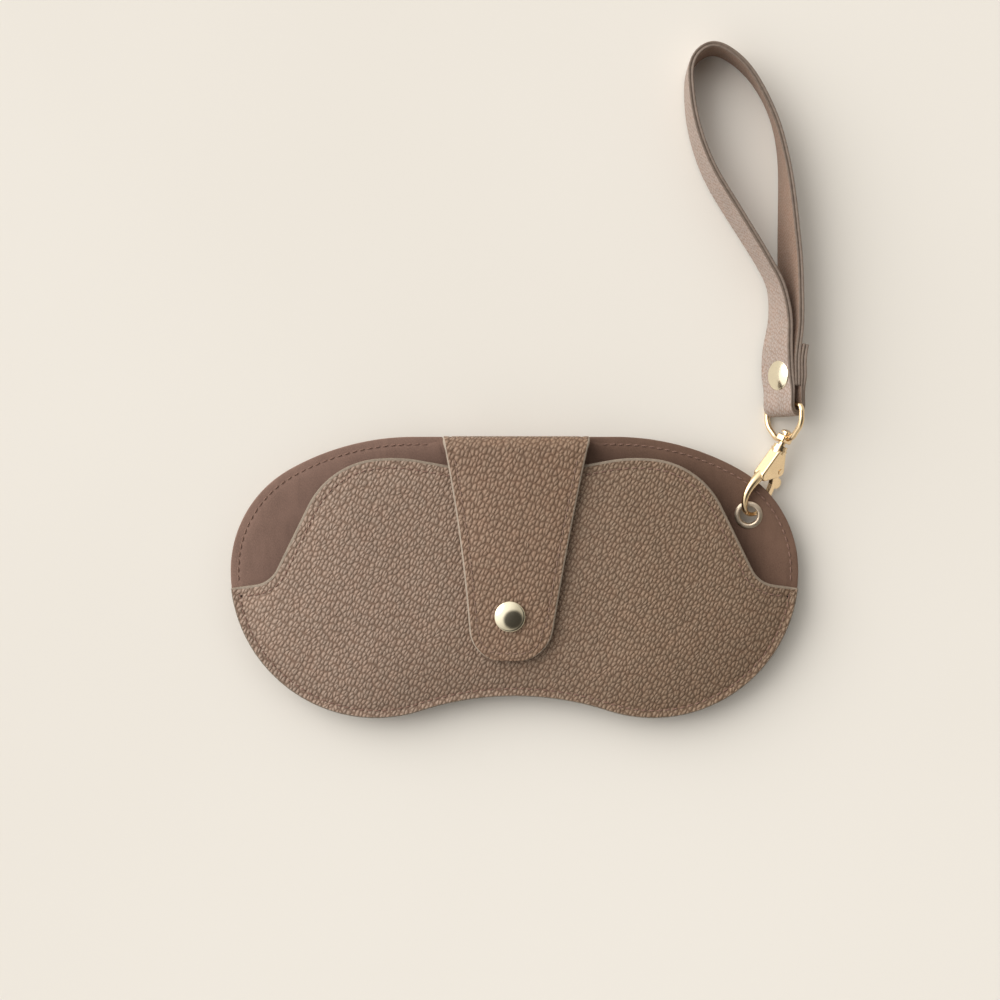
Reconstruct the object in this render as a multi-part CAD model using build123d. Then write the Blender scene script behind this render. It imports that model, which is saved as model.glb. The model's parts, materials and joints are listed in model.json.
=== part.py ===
from build123d import *
import os
from math import sin, cos, atan, radians, degrees, hypot

# Soft pouch glasses case with a flap, a snap, and a wrist strap on a swivel clasp.
# Millimetres. The pouch lies on its back: Z = 0 is the table, +Y points from the
# bottom seam to the flap's fold, X = 0 is the pouch's line of symmetry.

# ---- pouch outline: a straight top, then arcs (radius, turn in degrees) round one half
TOP_Y = 44.5
TOP_HALF_WIDTH = 32.0
SHOULDER, CORNER, SIDE, LOBE = (80.6, 29.3), (36.8, 58.4), (46.5, 73.1), (45.9, 37.2)

# ---- layers of the pouch
LEATHER = 1.2
FRONT_LEATHER = 1.1
LINING = 0.7
FRONT_LINING = 0.6
RIM_RISE = 5.4          # the back panel dishes up to this height at its rim
BACK_MARGIN = 4.0       # flat margin round the back panel
BACK_FOOT = 30.0        # the back is flat on the table further in than this
FRONT_BANDS = [(3.0, 0.0), (11.0, 2.4), (22.0, 3.9), (36.0, 4.6)]   # inset, rise of the front
FRONT_REACH_Y = 75.0    # the front is made too long, then cut to the mouth
MOUTH = [(0, 31.5), (36, 38.0), (58.5, 36.2), (77.2, -1.7), (96, -4.4)]
MOUTH_RADII = [50, 27, 9]
MOUTH_DIP_RADIUS = 100

# ---- thread
THREAD_WIDTH = 0.5
THREAD_HEIGHT = 0.2
RIM_SEAM = 2.4          # seam line's distance from the pouch's edge
MOUTH_SEAM = 3.2
FLAP_SEAM = 2.5

# ---- flap
FOLD_Y = 40.2           # the fold's straight arms start here
FOLD_FRONT_Y = 39.9     # the flap proper ends here
FOLD_RADIUS = 4.35
FLAP_LEFT = [(-23.1, TOP_Y + 2), (-16.7, 8), (-13.6, -26.3)]
FLAP_RIGHT = [(24.2, TOP_Y + 2), (17.1, 12), (10.6, -26.3)]
FLAP_CORNER = 9.5
FLAP_GAP = 1.2          # over the front panel, room for the snap
NOTCH_LEFT, NOTCH_RIGHT = -23.6, 24.7

# ---- snap
SNAP_X, SNAP_Y = -1.5, -12.1
CAP_RADIUS = 4.9
CAP_HEIGHT = 1.7
SOCKET_RADIUS = 4.3
SOCKET_HEIGHT = 1.3
SOCKET_BORE = 1.95
STUD_RADIUS = 1.75
STUD_FLANGE = 4.0
POST_RADIUS = 1.2
HEAD_GAP = 0.1          # flat flanges clear the gently coned leather

# ---- eyelet
EYELET_X, EYELET_Y = 74.7, 19.75
EYELET_BORE = 2.8
EYELET_WALL = 0.35
EYELET_FLANGE = 4.5
FLANGE_HEIGHT = 0.4

# ---- clasp, in its own plane: u along the clasp from the eyelet, w towards the gate
CLASP_HEADING = 24.5    # degrees from +Y towards +X
CLASP_PITCH = 5.4       # the swivel end stands higher than the hook
CLASP_ROLL = 45.0       # the claw's plane leans this far from upright
CLAW = [(14.0, -2.6), (10.6, -4.5), (7.0, -5.4), (3.2, -4.6), (0.6, -2.0), (0.35, 0.9), (1.7, 3.7)]
CLAW_RADII = (1.7, 1.2, 0.78, 0.72)
BODY_HALF = 2.1
PIVOT = (16.5, 3.0)
PIN_RADIUS = 0.6
LUG_RADIUS = 1.85
GATE_HALF = 0.8
GATE_SLOT_HALF = 0.9
GATE_TIP = (3.9, 4.9)
GATE_TIP_RADIUS = 0.8
TAB = (12.6, 5.7)
TAB_RADIUS = 1.7
COLLAR_RADIUS = 2.3
COLLAR_START, COLLAR_END = 21.6, 24.3
SWIVEL_BORE = 1.15
POST_SHAFT = 1.1
BOSS_U = 26.6
RUNNING_GAP = 0.05

# ---- ring
STRAP_LEAN = 57.0       # ring bar and strap lean over: degrees up from the table
RING_WIRE = 0.9
RING_HALF_WIDTH = 8.1
RING_BLOCK = (2.4, 4.6, 3.2)
RING_BAR = 10.6         # from the boss to the bar

# ---- strap: a flat ribbon stood on its edge, centreline seen from above, from the bar
STRAP_WIDTH = 13.3
LAYER = 0.88            # outer leather and backing, measured level
STRAP_DIP = 1.1         # degrees: the loop's far end comes down to the table
FOLD_TURN = 2.65        # centreline radius round the bar
TAIL = [(3.3, 19.0), (2.2, 14.0), (2.0, 9.5), (2.0, 5.5), (2.45, 2.5)]
FRONT_RUN = [(-2.45, 2.5), (-2.0, 5.5), (-2.0, 9.5), (-2.0, 14.0), (-1.4, 19.5), (-0.1, 26.0), (0.3, 32.0)]
LOOP = [(-0.9, 37.0), (-4.2, 43.7), (-13.6, 57.8), (-22.9, 72.4), (-28.5, 88.5), (-29.8, 100.0),
        (-28.3, 107.5), (-22.5, 112.2), (-15.8, 110.2), (-6.6, 101.0), (-1.8, 90.0), (0.2, 78.0),
        (1.0, 66.0), (1.8, 54.0), (2.7, 43.0)]
RETURN_RUN = [(3.1, 32.0), (1.6, 23.0), (0.2, 15.0), (0.0, 10.0), (0.0, 6.0)]
FOLD_TRIM = 13.6        # the turn's width inside the ring
STACK_STEP = 2.0        # from one of the three riveted layers to the next
RIVET_Y = 9.4
RIVET_CAP = 4.8
RIVET_CAP_HEIGHT = 1.6
RIVET_POST = 1.3
RIVET_HEAD = 4.0
RIVET_HEAD_HEIGHT = 0.8


# ---------------------------------------------------------------- outline
def heading_point(centre, radius, heading):
    """Point of a clockwise arc where the outline travels along this heading."""
    h = radians(heading)
    return (centre[0] - radius * sin(h), centre[1] + radius * cos(h))


def half_arcs():
    """Centre, radius, first and last heading of each convex arc, then the concave waist's."""
    x, y, heading = TOP_HALF_WIDTH, TOP_Y, 0.0
    arcs = []
    for radius, turn in (SHOULDER, CORNER, SIDE, LOBE):
        h = radians(heading)
        centre = (x + radius * sin(h), y - radius * cos(h))
        arcs.append((centre, radius, heading, heading - turn))
        heading -= turn
        x, y = heading_point(centre, radius, heading)
    spill = radians(-180 - heading)
    waist_radius = x / sin(spill)
    waist_centre = (0.0, y - waist_radius * cos(spill))
    return arcs, waist_centre, waist_radius, degrees(spill)


ARCS, WAIST_CENTRE, WAIST_RADIUS, WAIST_ANGLE = half_arcs()


def mirrored(p):
    return (-p[0], p[1])


def arc_edges(arcs, inset):
    """Edges of the given half arcs, moved inwards, and their mirror images."""
    right = []
    for centre, radius, first, last in arcs:
        r = radius - inset
        stops = [heading_point(centre, r, h) for h in (first, (first + last) / 2, last)]
        right.append(stops)
    left = [[mirrored(p) for p in reversed(stops)] for stops in reversed(right)]
    return right, left


def waist_stops(inset):
    r = WAIST_RADIUS + inset
    a = radians(WAIST_ANGLE)
    x, y = r * sin(a), WAIST_CENTRE[1] + r * cos(a)
    return [(x, y), (0.0, WAIST_CENTRE[1] + r), (-x, y)]


def closed_face(arcs, top):
    wire = Wire([ThreePointArc(*stops) for stops in arcs] + [Line(*ends) for ends in top])
    return make_face(wire)


def outline_face(inset):
    """The pouch's outline, moved inwards by inset."""
    right, left = arc_edges(ARCS, inset)
    start = right[0][0]
    return closed_face(right + [waist_stops(inset)] + left, [(mirrored(start), start)])


def front_face(inset):
    """Bottom and sides of the outline, with the sides carried straight up past the top."""
    side_centre, side_radius, _, side_last = ARCS[2]
    arcs = [(side_centre, side_radius, -90.0, side_last), ARCS[3]]
    right, left = arc_edges(arcs, inset)
    start = right[0][0]
    top = (start[0], FRONT_REACH_Y)
    sides = [(mirrored(start), mirrored(top)), (mirrored(top), top), (top, start)]
    return closed_face(right + [waist_stops(inset)] + left, sides)


# ---------------------------------------------------------------- layers
def lifted(face, z):
    return Pos(0, 0, z) * face


def slab(face, z, height):
    return extrude(lifted(face, z), amount=height)


def ruled(face_of, stops):
    """Solid with straight sides between outlines at each (inset, height)."""
    return loft([lifted(face_of(inset), z) for inset, z in stops], ruled=True)


def back_layer(z, thickness):
    """A dished sheet: flat margin, sloping sides, flat foot."""
    stops = [(BACK_FOOT, 0.0), (BACK_MARGIN, RIM_RISE)]
    under = ruled(outline_face, [(inset, z + h) for inset, h in stops])
    over = ruled(outline_face, [(inset, z + h + thickness) for inset, h in stops])
    return under + slab(outline_face(0), z + RIM_RISE, thickness) - over


def front_layer(z, thickness):
    """A domed sheet, before the mouth is cut."""
    under = ruled(front_face, [(inset, z + h) for inset, h in FRONT_BANDS])
    over = ruled(front_face, [(inset, z + h + thickness) for inset, h in FRONT_BANDS])
    return slab(front_face(0), z, thickness) + over - under


def moved_polyline(points, shift):
    """Corners of a polyline moved to the right of its direction of travel."""
    normals = []
    for (x0, y0), (x1, y1) in zip(points, points[1:]):
        length = hypot(x1 - x0, y1 - y0)
        normals.append(((y1 - y0) / length, (x0 - x1) / length))
    normals = [normals[0]] + normals + [normals[-1]]
    moved = []
    for (x, y), (ax, ay), (bx, by) in zip(points, normals, normals[1:]):
        reach = shift / (1 + ax * bx + ay * by)
        moved.append((x + (ax + bx) * reach, y + (ay + by) * reach))
    return moved


def mouth_region(shift=0.0):
    """Everything below the mouth edge, moved inwards by shift."""
    points = [mirrored(p) for p in reversed(MOUTH[1:])] + MOUTH
    crest, shoulder, foot = MOUTH_RADII
    half = [foot + shift, shoulder - shift, crest - shift]
    edge = FilletPolyline(*moved_polyline(points, shift),
                          radius=half + [MOUTH_DIP_RADIUS + shift] + half[::-1])
    near, far, low = edge @ 0, edge @ 1, -60.0
    box = Polyline((far.X, far.Y), (far.X, low), (near.X, low), (near.X, near.Y))
    return make_face(Wire(edge.edges() + box.edges()))


def tall(face):
    return extrude(lifted(face, -5), amount=40)


def seam_ring(inset):
    return tall(outline_face(inset)) - tall(outline_face(inset + THREAD_WIDTH))


BACK_TOP = RIM_RISE + LEATHER + LINING          # seam level, where the front starts
FRONT_TOP_RIM = BACK_TOP + FRONT_LINING + FRONT_LEATHER


def notch():
    """The gap in the back's rim where the flap grows out of it."""
    width = NOTCH_RIGHT - NOTCH_LEFT
    middle = (NOTCH_RIGHT + NOTCH_LEFT) / 2
    depth = 20.0
    return Pos(middle, FOLD_Y + depth / 2, RIM_RISE) * Box(width, depth, 2 * depth)


def front_rise(y):
    """Rise of the front panel on its centre line."""
    inset = y - (WAIST_CENTRE[1] + WAIST_RADIUS)
    for (i0, h0), (i1, h1) in zip(FRONT_BANDS, FRONT_BANDS[1:]):
        if i0 <= inset <= i1:
            return h0 + (h1 - h0) * (inset - i0) / (i1 - i0)
    return FRONT_BANDS[-1][1]


def front_slope(y):
    """Angle of the front panel on its centre line, in degrees."""
    step = 0.5
    return degrees(atan((front_rise(y + step) - front_rise(y - step)) / (2 * step)))


# ---------------------------------------------------------------- flap
FLAP_TIP_Y = FLAP_LEFT[-1][1]
FLAP_UNDER = FRONT_TOP_RIM + FLAP_GAP           # plus the front's rise
FLAP_FLAT = FLAP_UNDER + FRONT_BANDS[-1][1]
FLAP_TOP = FLAP_FLAT + LINING + LEATHER
HINGE_Z = (RIM_RISE + FLAP_TOP) / 2


def flap_face(inset=0.0):
    left = ThreePointArc(*FLAP_LEFT)
    right = ThreePointArc(*FLAP_RIGHT)
    face = make_face(Wire([left, Line(FLAP_LEFT[-1], FLAP_RIGHT[-1]), right,
                           Line(FLAP_RIGHT[0], FLAP_LEFT[0])]))
    tips = face.vertices().sort_by(Axis.Y)[:2]
    face = fillet(tips, radius=FLAP_CORNER)
    return offset(face, amount=-inset) if inset else face


def flap_layer(lift, thickness):
    """The flap's run over the front panel: flat, then down with the front's slope."""
    knees = [FRONT_BANDS[-1][0], FRONT_BANDS[-2][0], FRONT_BANDS[-3][0]]
    waist_y = WAIST_CENTRE[1] + WAIST_RADIUS
    ys = [FOLD_FRONT_Y] + [waist_y + inset for inset in knees]
    run = [(y, FLAP_UNDER + front_rise(y) + lift) for y in ys]
    top = [(y, z + thickness) for y, z in reversed(run)]
    profile = make_face(Polyline(*(run + top), close=True))
    return extrude(Plane.YZ * profile, amount=40, both=True)


def flap_piece(lift, thickness, inset=0.0):
    return flap_layer(lift, thickness) & tall(flap_face(inset))


def fold_piece(outside, thickness):
    """The turn of the fold, from the back's rim up and over to the flap."""
    low, high = RIM_RISE + outside, FLAP_TOP - outside
    far = FOLD_Y + FOLD_RADIUS - outside
    outer = FilletPolyline((FOLD_Y, low), (far, low), (far, high), (FOLD_FRONT_Y, high),
                           radius=FOLD_RADIUS - outside - 0.05)
    inner = FilletPolyline((FOLD_Y, low + thickness), (far - thickness, low + thickness),
                           (far - thickness, high - thickness),
                           (FOLD_FRONT_Y, high - thickness),
                           radius=FOLD_RADIUS - outside - thickness - 0.05)
    ends = [Line(outer @ 0, inner @ 0), Line(outer @ 1, inner @ 1)]
    profile = make_face(Wire(outer.edges() + inner.edges() + ends))
    turn = extrude(Plane.YZ * profile, amount=40, both=True)
    return turn & tall(flap_face())


# ---------------------------------------------------------------- snap
SNAP_FRONT_Z = FRONT_TOP_RIM + front_rise(SNAP_Y)
SNAP_FLAP_Z = FLAP_UNDER + front_rise(SNAP_Y)
SNAP_TILT = front_slope(SNAP_Y)


def at_snap(z):
    """Frame on the front panel or the flap at the snap, square to its slope."""
    return Pos(SNAP_X, SNAP_Y, z) * Rot(SNAP_TILT, 0, 0)


def disc(radius, low, high):
    return Pos(0, 0, (low + high) / 2) * Cylinder(radius, high - low)


def dome(radius, height):
    """A shallow button, flat below, with a rolled edge."""
    edge = 0.5
    rise = height - edge
    ball = (radius ** 2 + rise ** 2) / (2 * rise)
    cap = Pos(0, 0, height - ball) * Sphere(ball)
    keep = disc(radius, 0, height + 1)
    return (cap & keep) & disc(radius, 0, height)


def snap_parts():
    flap_thick = LINING + LEATHER
    seat = HEAD_GAP
    cap = dome(CAP_RADIUS, CAP_HEIGHT)
    tube_low = -flap_thick - seat
    cap_piece = Pos(0, 0, flap_thick + seat) * (cap + disc(POST_RADIUS, tube_low, 0))
    bottom = LINING - SOCKET_HEIGHT
    socket = disc(SOCKET_RADIUS, bottom, LINING - seat) - disc(SOCKET_BORE, bottom - 1, 0.1)
    socket = socket - disc(POST_RADIUS, -2, 3)
    flange = disc(STUD_FLANGE, seat, seat + 0.3)
    nipple = disc(STUD_RADIUS, seat, seat + 0.95)
    stud = flange + nipple - disc(POST_RADIUS, -2, seat + 0.6)
    front_thick = FRONT_LEATHER + FRONT_LINING
    head = disc(STUD_FLANGE, -front_thick - seat - 0.5, -front_thick - seat)
    post = head + disc(POST_RADIUS, -front_thick - seat, seat + 0.6)
    return {
        "snap_cap": at_snap(SNAP_FLAP_Z) * cap_piece,
        "snap_socket": at_snap(SNAP_FLAP_Z) * socket,
        "snap_stud": at_snap(SNAP_FRONT_Z) * stud,
        "snap_post": at_snap(SNAP_FRONT_Z) * post,
    }


def snap_hole(z, radius):
    return at_snap(z) * disc(radius, -4, 4)


# ---------------------------------------------------------------- eyelet
def eyelet_frame():
    """Middle of the back panel at the eyelet, its Z axis square to the sloping sheet."""
    (cx, cy), radius, _, _ = ARCS[1]
    dx, dy = EYELET_X - cx, EYELET_Y - cy
    reach = hypot(dx, dy)
    inset = radius - reach
    slope = RIM_RISE / (BACK_FOOT - BACK_MARGIN)
    z = RIM_RISE * (BACK_FOOT - inset) / (BACK_FOOT - BACK_MARGIN) + (LEATHER + LINING) / 2
    outward = Vector(dx / reach, dy / reach, slope)
    normal = Vector(-slope * dx / reach, -slope * dy / reach, 1)
    return Plane(origin=(EYELET_X, EYELET_Y, z), x_dir=outward, z_dir=normal)


EYELET = eyelet_frame()


def eyelet_parts():
    half = (LEATHER + LINING) / 2 * cos(atan(RIM_RISE / (BACK_FOOT - BACK_MARGIN))) + HEAD_GAP
    outer = EYELET_BORE + EYELET_WALL
    top = half + FLANGE_HEIGHT
    barrel = disc(outer, -half, half) + disc(EYELET_FLANGE, half, top)
    rim = barrel.edges().filter_by(GeomType.CIRCLE).sort_by(Axis.Z)[-1]
    barrel = fillet(rim, radius=0.25) - disc(EYELET_BORE, -3, 3)
    washer = disc(EYELET_FLANGE, -top, -half) - disc(EYELET_BORE, -3, 3)
    return {"eyelet_barrel": EYELET * barrel, "eyelet_washer": EYELET * washer}


def eyelet_hole():
    return EYELET * disc(EYELET_BORE + EYELET_WALL, -4, 4)


# ---------------------------------------------------------------- clasp
def clasp_frame():
    heading, pitch, roll = (radians(a) for a in (CLASP_HEADING, CLASP_PITCH, CLASP_ROLL))
    along = Vector(sin(heading) * cos(pitch), cos(heading) * cos(pitch), sin(pitch))
    right = Vector(cos(heading), -sin(heading), 0)
    up = right.cross(along)
    across = right * sin(roll) - up * cos(roll)
    return Plane(origin=EYELET.origin, x_dir=along, z_dir=along.cross(across))


CLASP = clasp_frame()


def round_bar(radius, start, end):
    """A shaft along the clasp's own axis."""
    return Pos((start + end) / 2, 0, 0) * Rot(0, 90, 0) * Cylinder(radius, end - start)


def hull_plate(circles, half):
    outlines = [Pos(u, w) * Edge.make_circle(r) for (u, w), r in circles]
    face = make_hull(outlines)
    return extrude(face, amount=half, both=True)


def claw():
    path = Spline(*CLAW)
    stops = (0.0, 0.4, 0.72, 1.0)
    rounds = [Plane(origin=path @ t, z_dir=path % t) * Circle(r) for t, r in zip(stops, CLAW_RADII)]
    return sweep(rounds, path=path, multisection=True) + Pos(*CLAW[-1]) * Sphere(CLAW_RADII[-1])


def clasp_body():
    knuckle = (13.6, -2.6)
    base = hull_plate([(PIVOT, LUG_RADIUS), (knuckle, 1.9), ((21.2, 0.0), 2.2)], BODY_HALF)
    base = fillet(base.edges().filter_by(Plane.XY), radius=0.6)
    body = base + claw() + round_bar(COLLAR_RADIUS, COLLAR_START, COLLAR_END)
    lip = 0.5
    body += round_bar(COLLAR_RADIUS + 0.35, COLLAR_END - 1.2 - lip, COLLAR_END - 1.2)
    slot_floor, slot_end, slot_top = 0.4, 19.2, 9.0
    slot_length, slot_depth = slot_end - 9.0, slot_top - slot_floor
    slot = Pos(slot_end - slot_length / 2, slot_floor + slot_depth / 2, 0)
    body -= slot * Box(slot_length, slot_depth, 2 * GATE_SLOT_HALF)
    body -= round_bar(SWIVEL_BORE, 18.0, COLLAR_END + 1) + round_bar(1.75, 18.6, 20.8)
    return body - Pos(*PIVOT) * Cylinder(PIN_RADIUS, 10)


def clasp_gate():
    arm = hull_plate([(GATE_TIP, GATE_TIP_RADIUS), ((12.0, 4.3), 0.9)], GATE_HALF)
    arm += hull_plate([((12.0, 4.3), 0.9), (PIVOT, LUG_RADIUS - 0.05)], GATE_HALF)
    tab = hull_plate([(TAB, TAB_RADIUS), ((13.6, 4.4), 1.0)], GATE_HALF)
    return arm + tab - Pos(*PIVOT) * Cylinder(PIN_RADIUS + RUNNING_GAP, 10)


def gate_pin():
    head = 0.25
    pin = Cylinder(PIN_RADIUS, 2 * BODY_HALF)
    for side in (-1, 1):
        pin += Pos(0, 0, side * (BODY_HALF + head / 2)) * Cylinder(PIN_RADIUS + 0.35, head)
    return Pos(*PIVOT) * pin


def gate_spring():
    """Outer shape of the small coil between the slot's floor and the gate."""
    coil = Cylinder(0.7, 1.6) - Cylinder(0.4, 3)
    return Pos(13.9, 1.25, 0) * Rot(90, 0, 0) * coil


def swivel_post():
    post = round_bar(POST_SHAFT, 19.2, 28.6) + round_bar(1.6, 19.0, 20.0)
    button = Pos(28.4, 0, 0) * Rot(0, 90, 0) * dome(1.9, 1.2)
    return post + button


def ring_frame():
    """At the boss: X towards the bar, Y along the bar, which is square to the strap."""
    lean = radians(STRAP_LEAN)
    along, across = Vector(0, 1, 0), Vector(cos(lean), 0, sin(lean))
    origin = CLASP.from_local_coords(Vector(BOSS_U, 0, 0))
    return Plane(origin=origin, x_dir=along, z_dir=along.cross(across))


RING = ring_frame()


def swivel_ring():
    half = RING_HALF_WIDTH
    corners = [(RING_BAR, half), (4.6, half), (0, 3.6), (0, -3.6), (4.6, -half), (RING_BAR, -half)]
    path = FilletPolyline(*corners, radius=[2.0, 5.0, 3.6, 3.6, 5.0, 2.0], close=True)
    wire = Wire(path.edges())
    hoop = sweep(Plane(origin=wire @ 0, z_dir=wire % 0) * Circle(RING_WIRE), path=wire)
    block = fillet(Box(*RING_BLOCK).edges(), radius=0.5)
    boss = RING * hoop + CLASP * (Pos(BOSS_U, 0, 0) * block)
    return boss - CLASP * round_bar(SWIVEL_BORE, 20, 32)


# ---------------------------------------------------------------- strap
def strap_frame():
    """At the foot of the ring's bar: X level to the right, Y along the strap."""
    bar = RING.from_local_coords(Vector(RING_BAR, 0, 0))
    dip = radians(STRAP_DIP)
    along = Vector(0, cos(dip), -sin(dip))
    square = Plane(origin=bar, x_dir=(1, 0, 0), z_dir=Vector(1, 0, 0).cross(along))
    foot = square.from_local_coords(strap_rise() * -0.5)
    return Plane(origin=foot, x_dir=square.x_dir, z_dir=square.z_dir)


def strap_rise():
    lean = radians(STRAP_LEAN)
    return Vector(cos(lean), 0, sin(lean)) * STRAP_WIDTH


STRAP = strap_frame()


def strap_centreline():
    turn = [(FOLD_TURN * cos(radians(a)), FOLD_TURN * sin(radians(a))) for a in range(0, -181, -30)]
    return Spline(*(TAIL + turn + FRONT_RUN + LOOP + RETURN_RUN))


def strap_layer(near, far):
    """A ribbon between two offsets from the centreline, positive on the outside."""
    centre = strap_centreline()
    stops = [i / 110 for i in range(111)]

    def beside(distance):
        points = []
        for t in stops:
            p, d = centre @ t, centre % t
            points.append((p.X - d.Y * distance, p.Y + d.X * distance))
        return Spline(*points)

    a, b = beside(near), beside(far)
    face = make_face(Wire([a, Line(a @ 1, b @ 1), b, Line(b @ 0, a @ 0)]))
    lean = strap_rise()
    ribbon = extrude(face, amount=STRAP_WIDTH, dir=(lean.X, lean.Y, lean.Z))
    return STRAP * ribbon


def rivet_frame():
    """Middle of the strap's three layers, Z out of the front face."""
    lean = radians(STRAP_LEAN)
    middle = Vector(0, RIVET_Y, 0) + strap_rise() * 0.5
    out = Vector(-sin(lean), 0, cos(lean))
    local = Plane(origin=middle, x_dir=(0, 1, 0), z_dir=out)
    return STRAP * local.location


def rivet_parts():
    half = (STACK_STEP + LAYER) * sin(radians(STRAP_LEAN)) + 2 * HEAD_GAP
    cap = Pos(0, 0, half) * dome(RIVET_CAP, RIVET_CAP_HEIGHT)
    post = disc(RIVET_POST, -half, half) + disc(RIVET_HEAD, -half - RIVET_HEAD_HEIGHT, -half)
    return {"strap_rivet_cap": rivet_frame() * cap, "strap_rivet_post": rivet_frame() * post}


# ---------------------------------------------------------------- assembly
def pouch_parts():
    hole, gap = eyelet_hole(), notch()
    mouth = tall(mouth_region())
    stud_hole = snap_hole(SNAP_FRONT_Z, POST_RADIUS)
    parts = {}
    parts["back_leather"] = back_layer(0, LEATHER) - gap - hole
    parts["back_lining"] = back_layer(LEATHER, LINING) - gap - hole
    parts["front_lining"] = (front_layer(BACK_TOP, FRONT_LINING) & mouth) - stud_hole
    leather_z = BACK_TOP + FRONT_LINING
    parts["front_leather"] = (front_layer(leather_z, FRONT_LEATHER) & mouth) - stud_hole
    ring = seam_ring(RIM_SEAM)
    low_rim = slab(outline_face(0), FRONT_TOP_RIM, THREAD_HEIGHT)
    parts["pocket_seam_thread"] = low_rim & ring & mouth
    high_rim = slab(outline_face(0), BACK_TOP, THREAD_HEIGHT)
    parts["back_rim_thread"] = (high_rim & ring) - tall(mouth_region(-1.0)) - gap
    edge = tall(mouth_region(MOUTH_SEAM)) - tall(mouth_region(MOUTH_SEAM + THREAD_WIDTH))
    inside = tall(outline_face(RIM_SEAM + 4 * THREAD_WIDTH))
    surface = front_layer(leather_z + FRONT_LEATHER, THREAD_HEIGHT)
    parts["mouth_seam_thread"] = surface & edge & inside
    return parts


def flap_parts():
    cap_hole = snap_hole(SNAP_FLAP_Z, POST_RADIUS)
    parts = {}
    parts["flap_lining"] = flap_piece(0, LINING) - snap_hole(SNAP_FLAP_Z, SOCKET_RADIUS)
    parts["flap_leather"] = flap_piece(LINING, LEATHER) - cap_hole
    parts["fold_leather"] = fold_piece(0, LEATHER)
    parts["fold_lining"] = fold_piece(LEATHER, LINING)
    line = tall(flap_face(FLAP_SEAM)) - tall(flap_face(FLAP_SEAM + THREAD_WIDTH))
    below_fold = Pos(0, -10, 0) * Box(80, 2 * (FOLD_FRONT_Y + 10 - 1), 80)
    parts["flap_thread"] = flap_layer(LINING + LEATHER, THREAD_HEIGHT) & line & below_fold
    return parts


def fold_trim():
    """What is cut off the strap's edges where it turns round the bar, inside the ring."""
    size = 10.0
    cut = Box(size, size, 2 * size)
    shift = FOLD_TRIM / 2 + size / 2
    return RING * (Pos(RING_BAR - size / 2, shift, 0) * cut + Pos(RING_BAR - size / 2, -shift, 0) * cut)


def strap_parts():
    hole = rivet_frame() * disc(RIVET_POST, -6, 6) + fold_trim()
    return {
        "strap_leather": strap_layer(0, LAYER) - hole,
        "strap_backing": strap_layer(-LAYER, 0) - hole,
    }


def build():
    parts = {}
    parts.update(pouch_parts())
    parts.update(flap_parts())
    parts.update(snap_parts())
    parts.update(eyelet_parts())
    parts["clasp_body"] = CLASP * clasp_body()
    parts["clasp_gate"] = CLASP * clasp_gate()
    parts["gate_pin"] = CLASP * gate_pin()
    parts["gate_spring"] = CLASP * gate_spring()
    parts["swivel_post"] = CLASP * swivel_post()
    parts["swivel_ring"] = swivel_ring()
    parts.update(strap_parts())
    parts.update(rivet_parts())
    return parts


os.makedirs("parts", exist_ok=True)
for name, shape in build().items():
    export_step(shape, f"parts/{name}.step")
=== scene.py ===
import json
import math
import random

import bpy
import numpy as np
from mathutils import Vector, Matrix, noise
from mathutils.geometry import delaunay_2d_cdt


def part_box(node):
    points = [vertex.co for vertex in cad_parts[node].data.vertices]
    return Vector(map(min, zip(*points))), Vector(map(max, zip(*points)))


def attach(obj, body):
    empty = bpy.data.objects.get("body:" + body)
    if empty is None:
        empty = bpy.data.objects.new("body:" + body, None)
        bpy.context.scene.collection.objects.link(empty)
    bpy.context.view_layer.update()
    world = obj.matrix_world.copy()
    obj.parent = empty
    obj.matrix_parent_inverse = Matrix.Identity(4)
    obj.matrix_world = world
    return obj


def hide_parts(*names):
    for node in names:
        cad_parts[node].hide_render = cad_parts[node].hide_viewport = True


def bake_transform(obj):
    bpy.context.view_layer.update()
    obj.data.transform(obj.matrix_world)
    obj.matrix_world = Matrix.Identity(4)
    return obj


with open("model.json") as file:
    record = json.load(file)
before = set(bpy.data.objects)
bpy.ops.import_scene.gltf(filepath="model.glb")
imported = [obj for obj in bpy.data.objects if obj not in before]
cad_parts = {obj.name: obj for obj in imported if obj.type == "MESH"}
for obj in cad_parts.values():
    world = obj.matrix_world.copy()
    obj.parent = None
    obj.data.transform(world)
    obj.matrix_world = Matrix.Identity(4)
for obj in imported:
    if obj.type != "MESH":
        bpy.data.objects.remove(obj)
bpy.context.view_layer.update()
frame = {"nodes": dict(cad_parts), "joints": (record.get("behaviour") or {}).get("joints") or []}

# Soft pouch glasses case. Helpers work in millimetres in the CAD frame; meshes are in metres.
MM = 0.001
rng = random.Random(11)

# ------------------------------------------------------------------ sizes, as in the CAD
TOP_Y, TOP_HALF_WIDTH = 44.5, 32.0
OUTLINE_ARCS = [(80.6, 29.3), (36.8, 58.4), (46.5, 73.1), (45.9, 37.2)]
LEATHER, LINING, FRONT_LEATHER, FRONT_LINING = 1.2, 0.7, 1.1, 0.6
RIM_RISE, BACK_MARGIN, BACK_FOOT = 5.4, 4.0, 30.0
FRONT_INSETS, FRONT_RISES = [3.0, 11.0, 22.0, 36.0], [0.0, 2.4, 3.9, 4.6]
BACK_TOP = RIM_RISE + LEATHER + LINING
FRONT_TOP = BACK_TOP + FRONT_LINING + FRONT_LEATHER
MOUTH = [(0, 31.5), (36, 38.0), (58.5, 36.2), (77.2, -1.7), (96, -4.4)]
MOUTH_RADII = [100, 50, 27, 9]
RIM_SEAM, MOUTH_SEAM, FLAP_SEAM = 2.4, 3.2, 2.5
STITCH_PITCH = 2.45
NOTCH_LEFT, NOTCH_RIGHT, FOLD_Y = -23.6, 24.7, 40.2
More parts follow.
